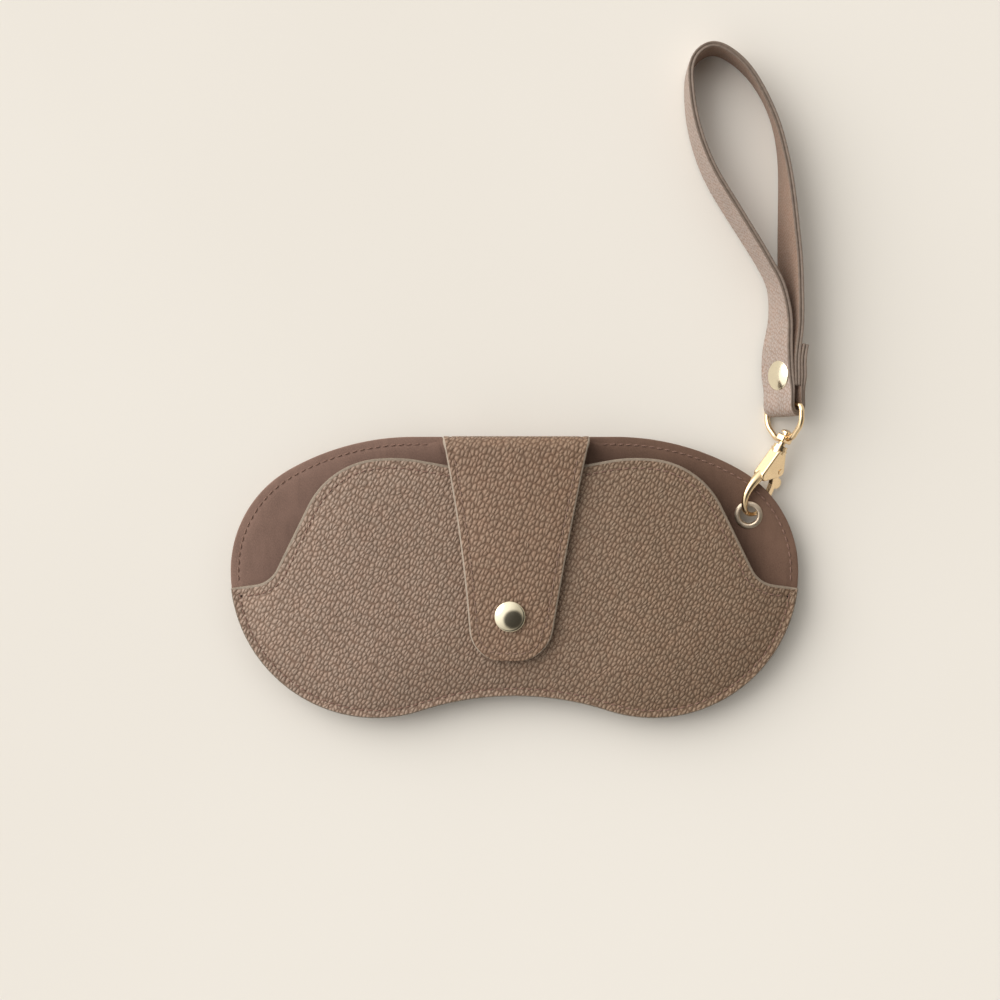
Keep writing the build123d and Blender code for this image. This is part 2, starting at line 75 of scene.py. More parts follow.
FLAP_LEFT = [(-23.1, TOP_Y + 2), (-16.7, 8), (-13.6, -26.3)]
FLAP_RIGHT = [(24.2, TOP_Y + 2), (17.1, 12), (10.6, -26.3)]
FLAP_CORNER = 9.5
FLAP_TOP = 16.7
FLAP_DEPTH = 4.35
FLAP_HEIGHTS = [(40.2, 16.7), (30.0, 16.7), (14.0, 16.66), (-1.8, 16.6), (-15.8, 15.95), (-26.5, 14.5)]
SNAP = (-1.5, -12.1)


# ------------------------------------------------------------------ plane curves
def rounded(points, radii):
    """Polyline with filleted corners, as dense points."""
    out = [Vector(points[0])]
    for a, b, c, r in zip(points, points[1:], points[2:], radii):
        a, b, c = Vector(a), Vector(b), Vector(c)
        back, ahead = (a - b).normalized(), (c - b).normalized()
        half = back.angle(ahead) / 2
        if half > math.radians(89.5):
            out.append(b)
            continue
        reach = r / math.tan(half)
        middle = b + (back + ahead).normalized() * (r / math.sin(half))
        start, end = b + back * reach, b + ahead * reach
        sweep = math.pi - 2 * half
        n = max(3, int(sweep * r / 0.5))
        first = start - middle
        side = 1 if first.x * (end - middle).y - first.y * (end - middle).x > 0 else -1
        for i in range(n + 1):
            turn = Matrix.Rotation(side * sweep * i / n, 2)
            out.append(middle + turn @ first)
    out.append(Vector(points[-1]))
    return np.array([tuple(p) for p in out])


def spaced(points, step, closed=False):
    """The same polyline with points an even distance apart."""
    pts = np.asarray(points, float)
    if closed:
        pts = np.vstack([pts, pts[:1]])
    lengths = np.hypot(*np.diff(pts, axis=0).T) if pts.shape[1] == 2 else \
        np.linalg.norm(np.diff(pts, axis=0), axis=1)
    along = np.concatenate([[0], np.cumsum(lengths)])
    count = max(2, int(round(along[-1] / step)))
    stops = np.linspace(0, along[-1], count + 1)
    if closed:
        stops = stops[:-1]
    return np.stack([np.interp(stops, along, pts[:, k]) for k in range(pts.shape[1])], axis=1)


def natural_spline(points, count):
    """Smooth curve through the points, parametrised by chord length."""
    pts = np.asarray(points, float)
    t = np.concatenate([[0], np.cumsum(np.linalg.norm(np.diff(pts, axis=0), axis=1))])
    n, h = len(t), np.diff(t)
    system, right = np.zeros((n, n)), np.zeros((n, pts.shape[1]))
    system[0, 0] = system[-1, -1] = 1
    for i in range(1, n - 1):
        system[i, i - 1:i + 2] = h[i - 1], 2 * (h[i - 1] + h[i]), h[i]
        right[i] = 6 * ((pts[i + 1] - pts[i]) / h[i] - (pts[i] - pts[i - 1]) / h[i - 1])
    bend = np.linalg.solve(system, right)
    s = np.linspace(0, t[-1], count)
    k = np.clip(np.searchsorted(t, s) - 1, 0, n - 2)
    a, b = (t[k + 1] - s)[:, None], (s - t[k])[:, None]
    hk = h[k][:, None]
    return (bend[k] * a ** 3 + bend[k + 1] * b ** 3) / (6 * hk) \
        + (pts[k] / hk - bend[k] * hk / 6) * a + (pts[k + 1] / hk - bend[k + 1] * hk / 6) * b


def through(points, y):
    """x on the circle through three points, at height y."""
    (x1, y1), (x2, y2), (x3, y3) = points
    d = 2 * (x1 * (y2 - y3) + x2 * (y3 - y1) + x3 * (y1 - y2))
    ux = ((x1**2 + y1**2) * (y2 - y3) + (x2**2 + y2**2) * (y3 - y1) + (x3**2 + y3**2) * (y1 - y2)) / d
    uy = ((x1**2 + y1**2) * (x3 - x2) + (x2**2 + y2**2) * (x1 - x3) + (x3**2 + y3**2) * (x2 - x1)) / d
    r = math.hypot(x1 - ux, y1 - uy)
    side = 1 if x2 > ux else -1
    return ux + side * math.sqrt(r * r - (y - uy) ** 2)


def outline_half():
    """Dense points down the right-hand half of the pouch's outline, clockwise."""
    x, y, heading = TOP_HALF_WIDTH, TOP_Y, 0.0
    points, side_top = [(0.0, TOP_Y), (x, y)], None
    for k, (radius, turn) in enumerate(OUTLINE_ARCS):
        cx = x + radius * math.sin(math.radians(heading))
        cy = y - radius * math.cos(math.radians(heading))
        for i in range(1, 41):
            h = math.radians(heading - turn * i / 40)
            points.append((cx - radius * math.sin(h), cy + radius * math.cos(h)))
        if k == 2:
            side_top = (cx + radius, cy)
        heading -= turn
        x, y = points[-1]
    spill = math.radians(-180 - heading)
    r = x / math.sin(spill)
    cy = y - r * math.cos(spill)
    points += [(r * math.sin(spill * (1 - i / 20)), cy + r * math.cos(spill * (1 - i / 20)))
               for i in range(1, 21)]
    return points, side_top


HALF, SIDE_TOP = outline_half()
OUTLINE = spaced(HALF + [(-x, y) for x, y in reversed(HALF[1:-1])], 1.0, closed=True)
right_mouth = rounded([(-36, 38)] + MOUTH, MOUTH_RADII)
right_mouth = right_mouth[right_mouth[:, 0] >= 0]
MOUTH_LINE = spaced(np.vstack([right_mouth[::-1] * (-1, 1), right_mouth[1:]]), 0.25)


def inside(points, loop):
    x, y = points[:, 0], points[:, 1]
    found = np.zeros(len(points), bool)
    for (x0, y0), (x1, y1) in zip(loop, np.roll(loop, -1, axis=0)):
        crosses = (y0 > y) != (y1 > y)
        with np.errstate(divide="ignore", invalid="ignore"):
            found ^= crosses & (x < (x1 - x0) * (y - y0) / (y1 - y0) + x0)
    return found


def distance(points, line, closed=False):
    """Nearest distance from each point to a polyline."""
    line = np.asarray(line, float)
    ends = np.roll(line, -1, axis=0) if closed else line[1:]
    starts = line if closed else line[:-1]
    best = np.full(len(points), 1e9)
    for a, b in zip(starts, ends):
        d = b - a
        t = np.clip(((points - a) @ d) / max(d @ d, 1e-12), 0, 1)
        best = np.minimum(best, np.hypot(*(points - a - t[:, None] * d).T))
    return best


# ------------------------------------------------------------------ height fields on a 1 mm grid
GX, GY = np.arange(-100, 101.0), np.arange(-56, 57.0)
GRID = np.stack(np.meshgrid(GX, GY), axis=-1).reshape(-1, 2)


def blurred(values, sigma):
    k = np.exp(-0.5 * (np.arange(-9, 10) / sigma) ** 2)
    k /= k.sum()
    padded = np.pad(values, 9, mode="edge")
    rows = np.apply_along_axis(lambda v: np.convolve(v, k, "valid"), 1, padded)
    return np.apply_along_axis(lambda v: np.convolve(v, k, "valid"), 0, rows)


def field(values):
    """Bilinear lookup in a grid of heights."""
    def at(x, y):
        x, y = np.asarray(x, float), np.asarray(y, float)
        u, v = np.clip(x - GX[0], 0, len(GX) - 1.001), np.clip(y - GY[0], 0, len(GY) - 1.001)
        i, j = u.astype(int), v.astype(int)
        a, b = u - i, v - j
        g = values
        return (g[j, i] * (1 - a) * (1 - b) + g[j, i + 1] * a * (1 - b)
                + g[j + 1, i] * (1 - a) * b + g[j + 1, i + 1] * a * b)
    return at


def eased(x, low, high):
    t = np.clip((x - low) / (high - low), 0, 1)
    return t * t * (3 - 2 * t)


COARSE_OUTLINE = spaced(OUTLINE, 2.0, closed=True)
inset = distance(GRID, COARSE_OUTLINE, closed=True) * np.where(inside(GRID, OUTLINE), 1, -1)
inset = inset.reshape(len(GY), len(GX))
sheer = [p for p in OUTLINE.tolist() if p[1] <= SIDE_TOP[1]]
front_line = [(SIDE_TOP[0], 80)] + sheer + [(-SIDE_TOP[0], 80)]
front_inset = distance(GRID, front_line).reshape(inset.shape)
front_inset = np.where(inset > -1, front_inset, 0)
mouth_gap = distance(GRID, spaced(MOUTH_LINE, 2.0)).reshape(inset.shape)

back_rise = RIM_RISE * np.clip((BACK_FOOT - inset) / (BACK_FOOT - BACK_MARGIN), 0, 1)
back_rise = np.maximum(blurred(back_rise, 2.6), 0)
firm = 1 - eased(inset, 2.2, 6.0)
back_rise = back_rise * (1 - firm) + RIM_RISE * firm
BACK = field(back_rise)

front_rise = np.interp(front_inset, FRONT_INSETS, FRONT_RISES)
front_rise = blurred(front_rise, 2.6)
give = np.array([noise.noise(Vector((x * 0.035, y * 0.045, 3.1))) * 0.34
                 + noise.noise(Vector((x * 0.09, y * 0.11, 8.2))) * 0.10 for x, y in GRID])
front_rise += give.reshape(inset.shape) * eased(front_inset, 4, 18)
front_rise -= 0.35 * np.exp(-(mouth_gap / 2.6) ** 2) * eased(front_inset, 5, 12)
front_rise *= eased(front_inset, 2.0, 4.4)
FRONT = field(front_rise)


# ------------------------------------------------------------------ meshes
def new_object(name, verts, faces, uvs=None, smooth=True):
    """verts in mm; uvs one per vertex, in mm of unrolled cloth."""
    mesh = bpy.data.meshes.new(name)
    mesh.from_pydata([tuple(float(c) * MM for c in v) for v in verts], [], faces)
    mesh.update()
    if uvs is not None:
        layer = mesh.uv_layers.new(name="cloth")
        loops = np.zeros(len(mesh.loops), np.int64)
        mesh.loops.foreach_get("vertex_index", loops)
        flat = (np.asarray(uvs, float)[loops] * MM).astype(np.float32).ravel()
        layer.data.foreach_set("uv", flat)
    mesh.polygons.foreach_set("use_smooth", [smooth] * len(mesh.polygons))
    obj = bpy.data.objects.new(name, mesh)
    bpy.context.scene.collection.objects.link(obj)
    return obj


def inward(loop, window=5):
    """Unit normals into a clockwise loop, eased round its corners."""
    d = np.roll(loop, -1, axis=0) - np.roll(loop, 1, axis=0)
    n = np.stack([d[:, 1], -d[:, 0]], axis=1)
    n /= np.linalg.norm(n, axis=1)[:, None]
    eased_n = sum(np.roll(n, k, axis=0) for k in range(-window, window + 1))
    return eased_n / np.linalg.norm(eased_n, axis=1)[:, None]


def paint_edges(obj, count):
    """The last faces of a sheet are its cut edge, which takes the second material."""
    total = len(obj.data.polygons)
    index = np.zeros(total, np.int32)
    index[total - count:] = 1
    obj.data.polygons.foreach_set("material_index", index)
    return obj


def paint_band(obj, line, width, index):
    """Faces nearer than width to a plan line take another material slot."""
    count = len(obj.data.polygons)
    centres = np.zeros(count * 3)
    obj.data.polygons.foreach_get("center", centres)
    near = distance(centres.reshape(-1, 3)[:, :2] / MM, line) < width
    slots = np.zeros(count, np.int32)
    obj.data.polygons.foreach_get("material_index", slots)
    obj.data.polygons.foreach_set("material_index", np.where(near, index, slots).astype(np.int32))


def sheet_mesh(name, loops, top, thick, rings, groove=0.0, edge=0.3, spacing=1.8):
    """A sheet of leather or lining: rounded edges, a sewn groove, and an even fill.
    loops are (points, seam distance or 0) with the cloth on their right-hand side;
    rings are shares of the seam distance."""
    flat, depth, quads, inner_loops = [], [], [], []
    round_steps = [(0.0, edge), (edge * 0.3, edge * 0.3), (edge, 0.0)]
    for points, seam in loops:
        normals = inward(points, 5 if len(points) > 60 else 0)
        seam = np.broadcast_to(np.asarray(seam, float), (len(points),))
        levels = [(np.full(len(points), i), d) for i, d in round_steps]
        for share in rings if seam[0] > 0 else []:
            dip = groove * math.exp(-((share - 1) * 3.2) ** 2)
            levels.append((seam * share, dip))
        first = len(flat)
        for shift, dip in levels:
            flat += (points + normals * shift[:, None]).tolist()
            depth += [dip] * len(points)
        n = len(points)
        for ring in range(len(levels) - 1):
            a, b = first + ring * n, first + (ring + 1) * n
            quads += [(a + i, a + (i + 1) % n, b + (i + 1) % n, b + i) for i in range(n)]
        inner_loops.append(list(range(len(flat) - n, len(flat))))
    limits = [np.array([flat[i] for i in loop]) for loop in inner_loops]
    low, high = limits[0].min(0), limits[0].max(0)
    rows = np.arange(low[1], high[1], spacing * 0.87)
    fill = np.array([(x + (spacing / 2 if k % 2 else 0), y) for k, y in enumerate(rows)
                     for x in np.arange(low[0], high[0], spacing)])
    keep = inside(fill, limits[0])
    for hole in limits[1:]:
        keep &= ~inside(fill, hole)
    for limit in limits:
        keep &= distance(fill, limit, closed=True) > spacing * 0.55
    fill = fill[keep]
    ids = [i for loop in inner_loops for i in loop]
    start, constraints = 0, []
    for loop in inner_loops:
        n = len(loop)
        constraints += [(start + i, start + (i + 1) % n) for i in range(n)]
        start += n
    seeds = [Vector(flat[i]) for i in ids] + [Vector(p) for p in fill.tolist()]
    made, _, tris, origin, _, _ = delaunay_2d_cdt(seeds, constraints, [], 0, 1e-6)
    base = len(flat)
    lookup = {}
    for k, came in enumerate(origin):
        source = came[0] if came else None
        if source is not None and source < len(ids):
            lookup[k] = ids[source]
        else:
            lookup[k] = len(flat)
            flat.append(tuple(made[k]))
            depth.append(0.0 if not rings else groove * math.exp(-((rings[-1] - 1) * 3.2) ** 2))
    centres = np.array([np.mean([made[i] for i in t], axis=0) for t in tris])
    good = inside(centres, limits[0])
    for hole in limits[1:]:
        good &= ~inside(centres, hole)
    fills = []
    for t, ok in zip(tris, good):
        if ok:
            f = [lookup[i] for i in t]
            (ax, ay), (bx, by), (cx, cy) = (flat[i] for i in f)
            fills.append(f if (bx - ax) * (cy - ay) - (by - ay) * (cx - ax) > 0 else f[::-1])
    flat, depth = np.array(flat), np.array(depth)
    z = top(flat[:, 0], flat[:, 1])
    count = len(flat)
    upper = np.column_stack([flat, z - depth])
    rim_dip = np.zeros(count)
    at = 0
    levels_here = len(round_steps)
    for points, seam in loops:
        n = len(points)
        for k in range(levels_here):
            rim_dip[at + k * n:at + (k + 1) * n] = round_steps[k][1]
        seam0 = np.broadcast_to(np.asarray(seam, float), (n,))[0]
        at += n * (levels_here + (len(rings) if seam0 > 0 else 0))
    lower = np.column_stack([flat, z - thick + np.minimum(rim_dip, thick * 0.45)])
    upper_faces = [tuple(q[::-1]) for q in quads] + [tuple(f) for f in fills]
    lower_faces = [tuple(i + count for i in f[::-1]) for f in upper_faces]
    sides, at = [], 0
    for points, seam in loops:
        n = len(points)
        sides += [(at + i, at + (i + 1) % n, count + at + (i + 1) % n, count + at + i)
                  for i in range(n)]
        seam0 = np.broadcast_to(np.asarray(seam, float), (n,))[0]
        at += n * (levels_here + (len(rings) if seam0 > 0 else 0))
    made_sheet = new_object(name, np.vstack([upper, lower]), upper_faces + lower_faces + sides,
                            np.vstack([flat, flat]))
    return paint_edges(made_sheet, len(sides))


def lathe(name, profile, place, segments=64):
    """Turned piece; profile is (radius, height) from the middle of the top downwards."""
    verts, faces, rows = [], [], []
    for r, h in profile:
        if r < 1e-6:
            rows.append([len(verts)])
            verts.append((0, 0, h))
        else:
            rows.append(list(range(len(verts), len(verts) + segments)))
            verts += [(r * math.cos(2 * math.pi * i / segments),
                       r * math.sin(2 * math.pi * i / segments), h) for i in range(segments)]
    for a, b in zip(rows, rows[1:]):
        for i in range(segments):
            j = (i + 1) % segments
            if len(a) == 1:
                faces.append((a[0], b[i], b[j]))
            elif len(b) == 1:
                faces.append((a[i], b[0], a[j]))
            else:
                faces.append((a[i], b[i], b[j], a[j]))
    placed = [tuple(place @ Vector(v)) for v in verts]
    return new_object(name, placed, faces)


def frame_at(origin, x_dir, z_dir):
    z = Vector(z_dir).normalized()
    x = (Vector(x_dir) - z * Vector(x_dir).dot(z)).normalized()
    y = z.cross(x)
    m = Matrix((x, y, z)).transposed().to_4x4()
    m.translation = Vector(origin)
    return m


def stitches(name, line, normals, pitch=STITCH_PITCH, radius=0.23, length=2.15):
    """Separate stitches along a 3-D line, each sunk at its ends."""
    along = np.concatenate([[0], np.cumsum(np.linalg.norm(np.diff(line, axis=0), axis=1))])
    count = int(along[-1] / pitch)
    verts, faces, uvs = [], [], []
    for k in range(count):
        middle = (k + 0.5) * along[-1] / count
        p = Vector([np.interp(middle, along, line[:, c]) for c in range(3)])
        q = Vector([np.interp(middle + 0.3, along, line[:, c]) for c in range(3)])
        n = Vector([np.interp(middle, along, normals[:, c]) for c in range(3)]).normalized()
        t = (q - p).normalized()
        b = n.cross(t).normalized()
        t = (t + b * 0.10 * rng.uniform(0.6, 1.3)).normalized()
        b = n.cross(t).normalized()
        size = length * rng.uniform(0.94, 1.03)
        first, rows, sides = len(verts), 9, 8
        for i in range(rows):
            s = i / (rows - 1) * 2 - 1
            r = radius * math.sqrt(max(0.02, 1 - abs(s) ** 3.5))
            sink = -0.34 * abs(s) ** 3 + 0.06
            for j in range(sides):
                a = 2 * math.pi * j / sides
                v = p + t * (s * size / 2) + b * (r * math.cos(a)) + n * (r * math.sin(a) + sink)
                verts.append(tuple(v))
                uvs.append((middle + s * size / 2, j * 0.2))
        for i in range(rows - 1):
            for j in range(sides):
                a, c = first + i * sides + j, first + i * sides + (j + 1) % sides
                faces.append((a, c, c + sides, a + sides))
        faces.append(tuple(first + j for j in reversed(range(sides))))
        faces.append(tuple(first + (rows - 1) * sides + j for j in range(sides)))
    return new_object(name, verts, faces, uvs)


# ------------------------------------------------------------------ materials
class Nodes:
    """Short way to write a node material."""

    def __init__(self, name):
        self.material = bpy.data.materials.new(name)
        self.material.use_nodes = True
        self.tree = self.material.node_tree
        self.shader = self.tree.nodes["Principled BSDF"]

    def add(self, kind, settings=None, **inputs):
        node = self.tree.nodes.new(kind)
        for key, value in (settings or {}).items():
            setattr(node, key, value)
        for key, value in inputs.items():
            self.put(node, key.replace("_", " "), value)
        return node

    def put(self, node, key, value):
        socket = node.inputs[int(key)] if key.isdigit() else node.inputs[key]
        if isinstance(value, bpy.types.NodeSocket):
            self.tree.links.new(value, socket)
        else:
            socket.default_value = value

    def math(self, operation, a, b=0.0, clamp=False):
        node = self.tree.nodes.new("ShaderNodeMath")
        node.operation, node.use_clamp = operation, clamp
        self.put(node, "0", a)
        self.put(node, "1", b)
        return node.outputs[0]

    def ramp(self, value, low, high, out_low=0.0, out_high=1.0):
        node = self.add("ShaderNodeMapRange", {"interpolation_type": "SMOOTHSTEP"})
        for key, v in zip(("Value", "From Min", "From Max", "To Min", "To Max"),
                          (value, low, high, out_low, out_high)):
            self.put(node, key, v)
        return node.outputs[0]

    def mix(self, share, a, b, blend="MIX"):
        node = self.add("ShaderNodeMix", {"data_type": "RGBA", "blend_type": blend})
        self.put(node, "0", share)
        self.put(node, "6", a)
        self.put(node, "7", b)
        return node.outputs[2]

    def coords(self, kind, scale=(1, 1, 1), turn=0.0):
        source = self.add("ShaderNodeTexCoord").outputs[kind]
        node = self.add("ShaderNodeMapping")
        self.put(node, "Vector", source)
        node.inputs["Scale"].default_value = scale
        node.inputs["Rotation"].default_value = (0, 0, turn)
        return node.outputs[0]

    def noise(self, vector, scale, detail=3.0, rough=0.5):
        node = self.add("ShaderNodeTexNoise", Scale=scale, Detail=detail, Roughness=rough)
        self.put(node, "Vector", vector)
        return node.outputs["Fac"]

    def set(self, **inputs):
        for key, value in inputs.items():
            self.put(self.shader, key.replace("_", " "), value)

    def bump(self, height, distance_mm, strength=1.0, under=None):
        node = self.add("ShaderNodeBump", Strength=strength, Distance=distance_mm * MM)
        self.put(node, "Height", height)
        if under is not None:
            self.put(node, "Normal", under)
        return node.outputs[0]


def painted_side_shade(m, tone, far, start=-0.055, end=0.075):
    """Painted shade: the colour darkens gently from one end of the pouch to the other, standing in for the
    light falling off across the pouch.
    """
    split = m.add("ShaderNodeSeparateXYZ")
    m.put(split, "Vector", m.coords("UV"))
    wander = m.math("MULTIPLY", m.noise(m.coords("UV"), 30, 2), 0.03)
    place = m.math("ADD", split.outputs[0], wander)
    drift = m.mix(m.ramp(place, start, end), rgba((1.02, 1.02, 1.02)), rgba(far))
    return m.mix(1.0, tone, drift, "MULTIPLY")


def rgba(colour, gain=1.0):
    return (*(c * gain for c in colour), 1.0)


def pebbled(name, colour, cell=1.15, depth=0.30, turn=0.50, stretch=0.62, rough=0.5, valley_tone_and_shade=0.60,
            far=(0.75, 0.70, 0.60)):
    """Pebbled leather: even slanting grains parted by short valleys, coloured lighter on the crowns and
    darker in the valleys, partly the grain's own tone and partly painted highlight and painted shade.
    """
    m = Nodes(name)
    base = m.coords("UV", turn=turn)
    squeeze = m.add("ShaderNodeMapping")
    m.put(squeeze, "Vector", base)
    squeeze.inputs["Scale"].default_value = (1, stretch, 1)
    warp = m.add("ShaderNodeTexNoise", {"noise_dimensions": "2D"}, Scale=300.0, Detail=1.0)
    m.put(warp, "Vector", squeeze.outputs[0])
    shift = m.add("ShaderNodeVectorMath", {"operation": "MULTIPLY_ADD"})
    m.put(shift, "0", warp.outputs["Color"])
    shift.inputs[1].default_value = (cell * 0.7 * MM, cell * 0.7 * MM, 0)
    m.put(shift, "2", squeeze.outputs[0])
    place = shift.outputs[0]
    size = {"Scale": 1 / (cell * MM), "Randomness": 0.62}
    flat = {"voronoi_dimensions": "2D"}
    edges = m.add("ShaderNodeTexVoronoi", {**flat, "feature": "DISTANCE_TO_EDGE"}, **size)
    cells = m.add("ShaderNodeTexVoronoi", {**flat, "feature": "SMOOTH_F1"}, Smoothness=0.35, **size)
    whole = m.add("ShaderNodeTexVoronoi", {**flat, "feature": "F1"}, **size)
    for node in (edges, cells, whole):
        m.put(node, "Vector", place)
    valley = m.ramp(edges.outputs["Distance"], 0.0, 0.34)
    crown = m.ramp(cells.outputs["Distance"], 0.05, 0.68, 1.0, 0.0)
    open_ = m.ramp(m.noise(base, 700, 2, 0.5), 0.22, 0.50, 0.35, 1.0)
    cut = m.math("ADD", m.math("MULTIPLY", valley, open_), m.math("SUBTRACT", 1.0, open_))
    height = m.math("ADD", m.math("MULTIPLY", cut, 0.45), m.math("MULTIPLY", crown, 0.55))
    pores = m.noise(base, 4200, 3, 0.6)
    height = m.math("ADD", height, m.math("MULTIPLY", pores, 0.05))
    broad = m.noise(base, 38, 3, 0.55)
    drift = m.noise(base, 240, 2, 0.5)
    # Partly the grain's own tone and partly painted light: valleys are darkened as painted shade and crowns
    # lightened as painted highlight, by the grain's height.
    valley_colour_and_shade = tuple(c * valley_tone_and_shade * k for c, k in zip(colour, (1.05, 0.97, 0.92)))
    crown_colour_and_highlight = tuple(c * 1.13 * k for c, k in zip(colour, (0.98, 1.01, 1.05)))
    tone = m.mix(m.ramp(height, 0.10, 0.72), rgba(valley_colour_and_shade), rgba(crown_colour_and_highlight))
    tint = m.mix(m.ramp(broad, 0.3, 0.7), rgba((0.96, 0.955, 0.95)), rgba((1.045, 1.045, 1.05)))
    tone = m.mix(1.0, tone, tint, "MULTIPLY")
    pick = m.add("ShaderNodeSeparateColor")
    m.put(pick, "Color", whole.outputs["Color"])
    grain = m.mix(pick.outputs[0], rgba((0.93, 0.925, 0.92)), rgba((1.06, 1.06, 1.06)))
    tone = m.mix(1.0, tone, grain, "MULTIPLY")
    warm = m.mix(m.ramp(drift, 0.35, 0.7), rgba((1.0, 1.0, 1.0)), rgba((1.03, 0.985, 0.965)))
    tone = m.mix(1.0, tone, warm, "MULTIPLY")
    # Painted shade: unless far is None, the hide's colour darkens towards one end of the pouch, standing in
    # for the light falling off across it.
    if far:
        tone = painted_side_shade(m, tone, far)
    m.set(Base_Color=tone, Roughness=m.ramp(height, 0.2, 0.9, rough + 0.2, rough),
          Normal=m.bump(height, depth))
    m.set(Specular_IOR_Level=0.42)
    return m.material


def suede(name, colour, turn=0.2):
    m = Nodes(name)
    base = m.coords("UV", (1, 1, 1), turn)
    nap = m.noise(m.coords("UV", (1, 0.45, 1), turn), 3800, 4, 0.65)
    patch = m.noise(base, 85, 4, 0.6)
    streak = m.noise(m.coords("UV", (1, 0.25, 1), 1.0), 420, 3, 0.6)
    tone = m.mix(m.ramp(patch, 0.3, 0.72), rgba(colour, 0.86), rgba(colour, 1.13))
    tone = m.mix(m.ramp(nap, 0.3, 0.75), tone, rgba(colour, 1.32))
    tone = m.mix(m.ramp(streak, 0.4, 0.8, 0, 0.35), tone, rgba(colour, 0.74))
    # Painted shade: the lining's colour darkens towards one end of the pouch, standing in for the light
    # falling off across it.
    tone = painted_side_shade(m, tone, (0.62, 0.58, 0.52))
    m.set(Base_Color=tone, Roughness=0.93, Normal=m.bump(nap, 0.09, 0.8))
    m.set(Sheen_Weight=0.35, Sheen_Roughness=0.45, Sheen_Tint=rgba((0.75, 0.6, 0.52)))
    m.set(Specular_IOR_Level=0.12)
    return m.material


def edge_paint(name, colour):
    """The sealed cut edge of leather: fairly smooth, a little uneven."""
    m = Nodes(name)
    base = m.coords("Object")
    tone = m.mix(m.ramp(m.noise(base, 900, 3), 0.3, 0.7), rgba(colour, 0.86), rgba(colour, 1.1))
    m.set(Base_Color=tone, Roughness=0.55, Normal=m.bump(m.noise(base, 1500, 3), 0.05, 0.6))
    return m.material


def yarn(name, colour):
    m = Nodes(name)
    twist = m.add("ShaderNodeTexWave", {"bands_direction": "DIAGONAL"}, Scale=1500.0, Distortion=1.0)
    m.put(twist, "Vector", m.coords("UV"))
    fuzz = m.noise(m.coords("UV"), 2500, 2)
    tone = m.mix(twist.outputs["Fac"], rgba(colour, 0.62), rgba(colour, 1.2))
    tone = m.mix(m.ramp(fuzz, 0.3, 0.8, 0, 0.4), tone, rgba(colour, 1.5))
    m.set(Base_Color=tone, Roughness=0.62, Normal=m.bump(twist.outputs["Fac"], 0.06))
    m.set(Sheen_Weight=0.2)
    return m.material


def plated(name, colour, rough=0.16, wear=0.5):
    m = Nodes(name)
    spots = m.noise(m.coords("Object"), 900, 4, 0.6)
    lines = m.noise(m.coords("Object", (1, 6, 1), 0.6), 1600, 3, 0.7)
    haze = m.noise(m.coords("Object"), 160, 2)
    tone = m.mix(m.ramp(haze, 0.3, 0.7), rgba(colour, 0.94), rgba(colour, 1.04))
    worn = tuple(c * k for c, k in zip(colour, (0.75, 0.66, 0.5)))
    tone = m.mix(m.ramp(spots, 0.55, 0.8, 0, wear * 0.4), tone, rgba(worn))
    m.set(Base_Color=tone, Roughness=m.ramp(lines, 0.3, 0.75, rough * 0.75, rough * 1.7),
          Normal=m.bump(lines, 0.004, 0.5))
    m.set(Metallic=1.0)
    return m.material


GOLD = plated("gold_plating", (0.90, 0.69, 0.43), 0.16)
PALE_GOLD = plated("pale_gold_plating", (0.87, 0.79, 0.60), 0.11)
SNAP_METAL = plated("snap_metal", (0.78, 0.68, 0.46), 0.25)
EYELET_METAL = plated("eyelet_metal", (0.66, 0.55, 0.43), 0.36)
STEEL = plated("spring_steel", (0.62, 0.60, 0.57), 0.3)
# These hides keep the default far, so painted shade darkens each towards one end of the pouch.
FRONT_HIDE = pebbled("front_leather_grain", (0.298, 0.212, 0.160))
BACK_HIDE = pebbled("back_leather_grain", (0.305, 0.215, 0.158), turn=0.9)
FLAP_HIDE = pebbled("flap_leather_grain", (0.285, 0.190, 0.135), cell=1.22, turn=0.42)
STRAP_HIDE = pebbled("strap_leather_grain", (0.325, 0.263, 0.227), cell=0.8, depth=0.09, rough=0.5,
                     valley_tone_and_shade=0.84, far=None)
STRAP_INNER = pebbled("strap_backing_grain", (0.275, 0.195, 0.150), cell=0.6, depth=0.03, rough=0.6,
                      valley_tone_and_shade=0.88, far=None)
RIM_EDGE = edge_paint("rim_edge", (0.175, 0.142, 0.105))
MOUTH_LIP = edge_paint("mouth_lip", (0.245, 0.192, 0.145))
# The flap's cut edge is paler than the flap, partly its own raw-edge colour and partly a painted highlight
# for the light catching its lit edge.
FLAP_EDGE_AND_HIGHLIGHT = edge_paint("flap_edge", (0.335, 0.272, 0.215))
STRAP_EDGE = edge_paint("strap_edge", (0.175, 0.130, 0.102))
LINING_SUEDE = suede("lining_suede", (0.215, 0.137, 0.110))
THREAD = yarn("seam_thread", (0.215, 0.115, 0.082))
FLAP_THREAD = yarn("flap_thread", (0.235, 0.140, 0.100))


def dress(obj, material, slot, body, *nodes, edge=None):
    obj.data.materials.append(material)
    if edge:
        obj.data.materials.append(edge)
    if body:
        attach(obj, body)
    if nodes:
        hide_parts(*nodes)
    return obj


def keep_cad(material, *nodes):
    for n in nodes:
        node = frame["nodes"][n]
        node.data.materials.clear()
        node.data.materials.append(material)


# ------------------------------------------------------------------ camera, light, floor
def make_camera():
    data = bpy.data.cameras.new("camera")
    data.sensor_width = 36.0
    height, field_mm, level = 600.0, 318.6, 6.0
    data.lens = data.sensor_width * (height - level) / field_mm
    camera = bpy.data.objects.new("camera", data)
    camera.location = (-4.6 * MM, 24.4 * MM, height * MM)
    data.clip_start, data.clip_end = 0.01, 20
    bpy.context.scene.collection.objects.link(camera)
    bpy.context.scene.camera = camera


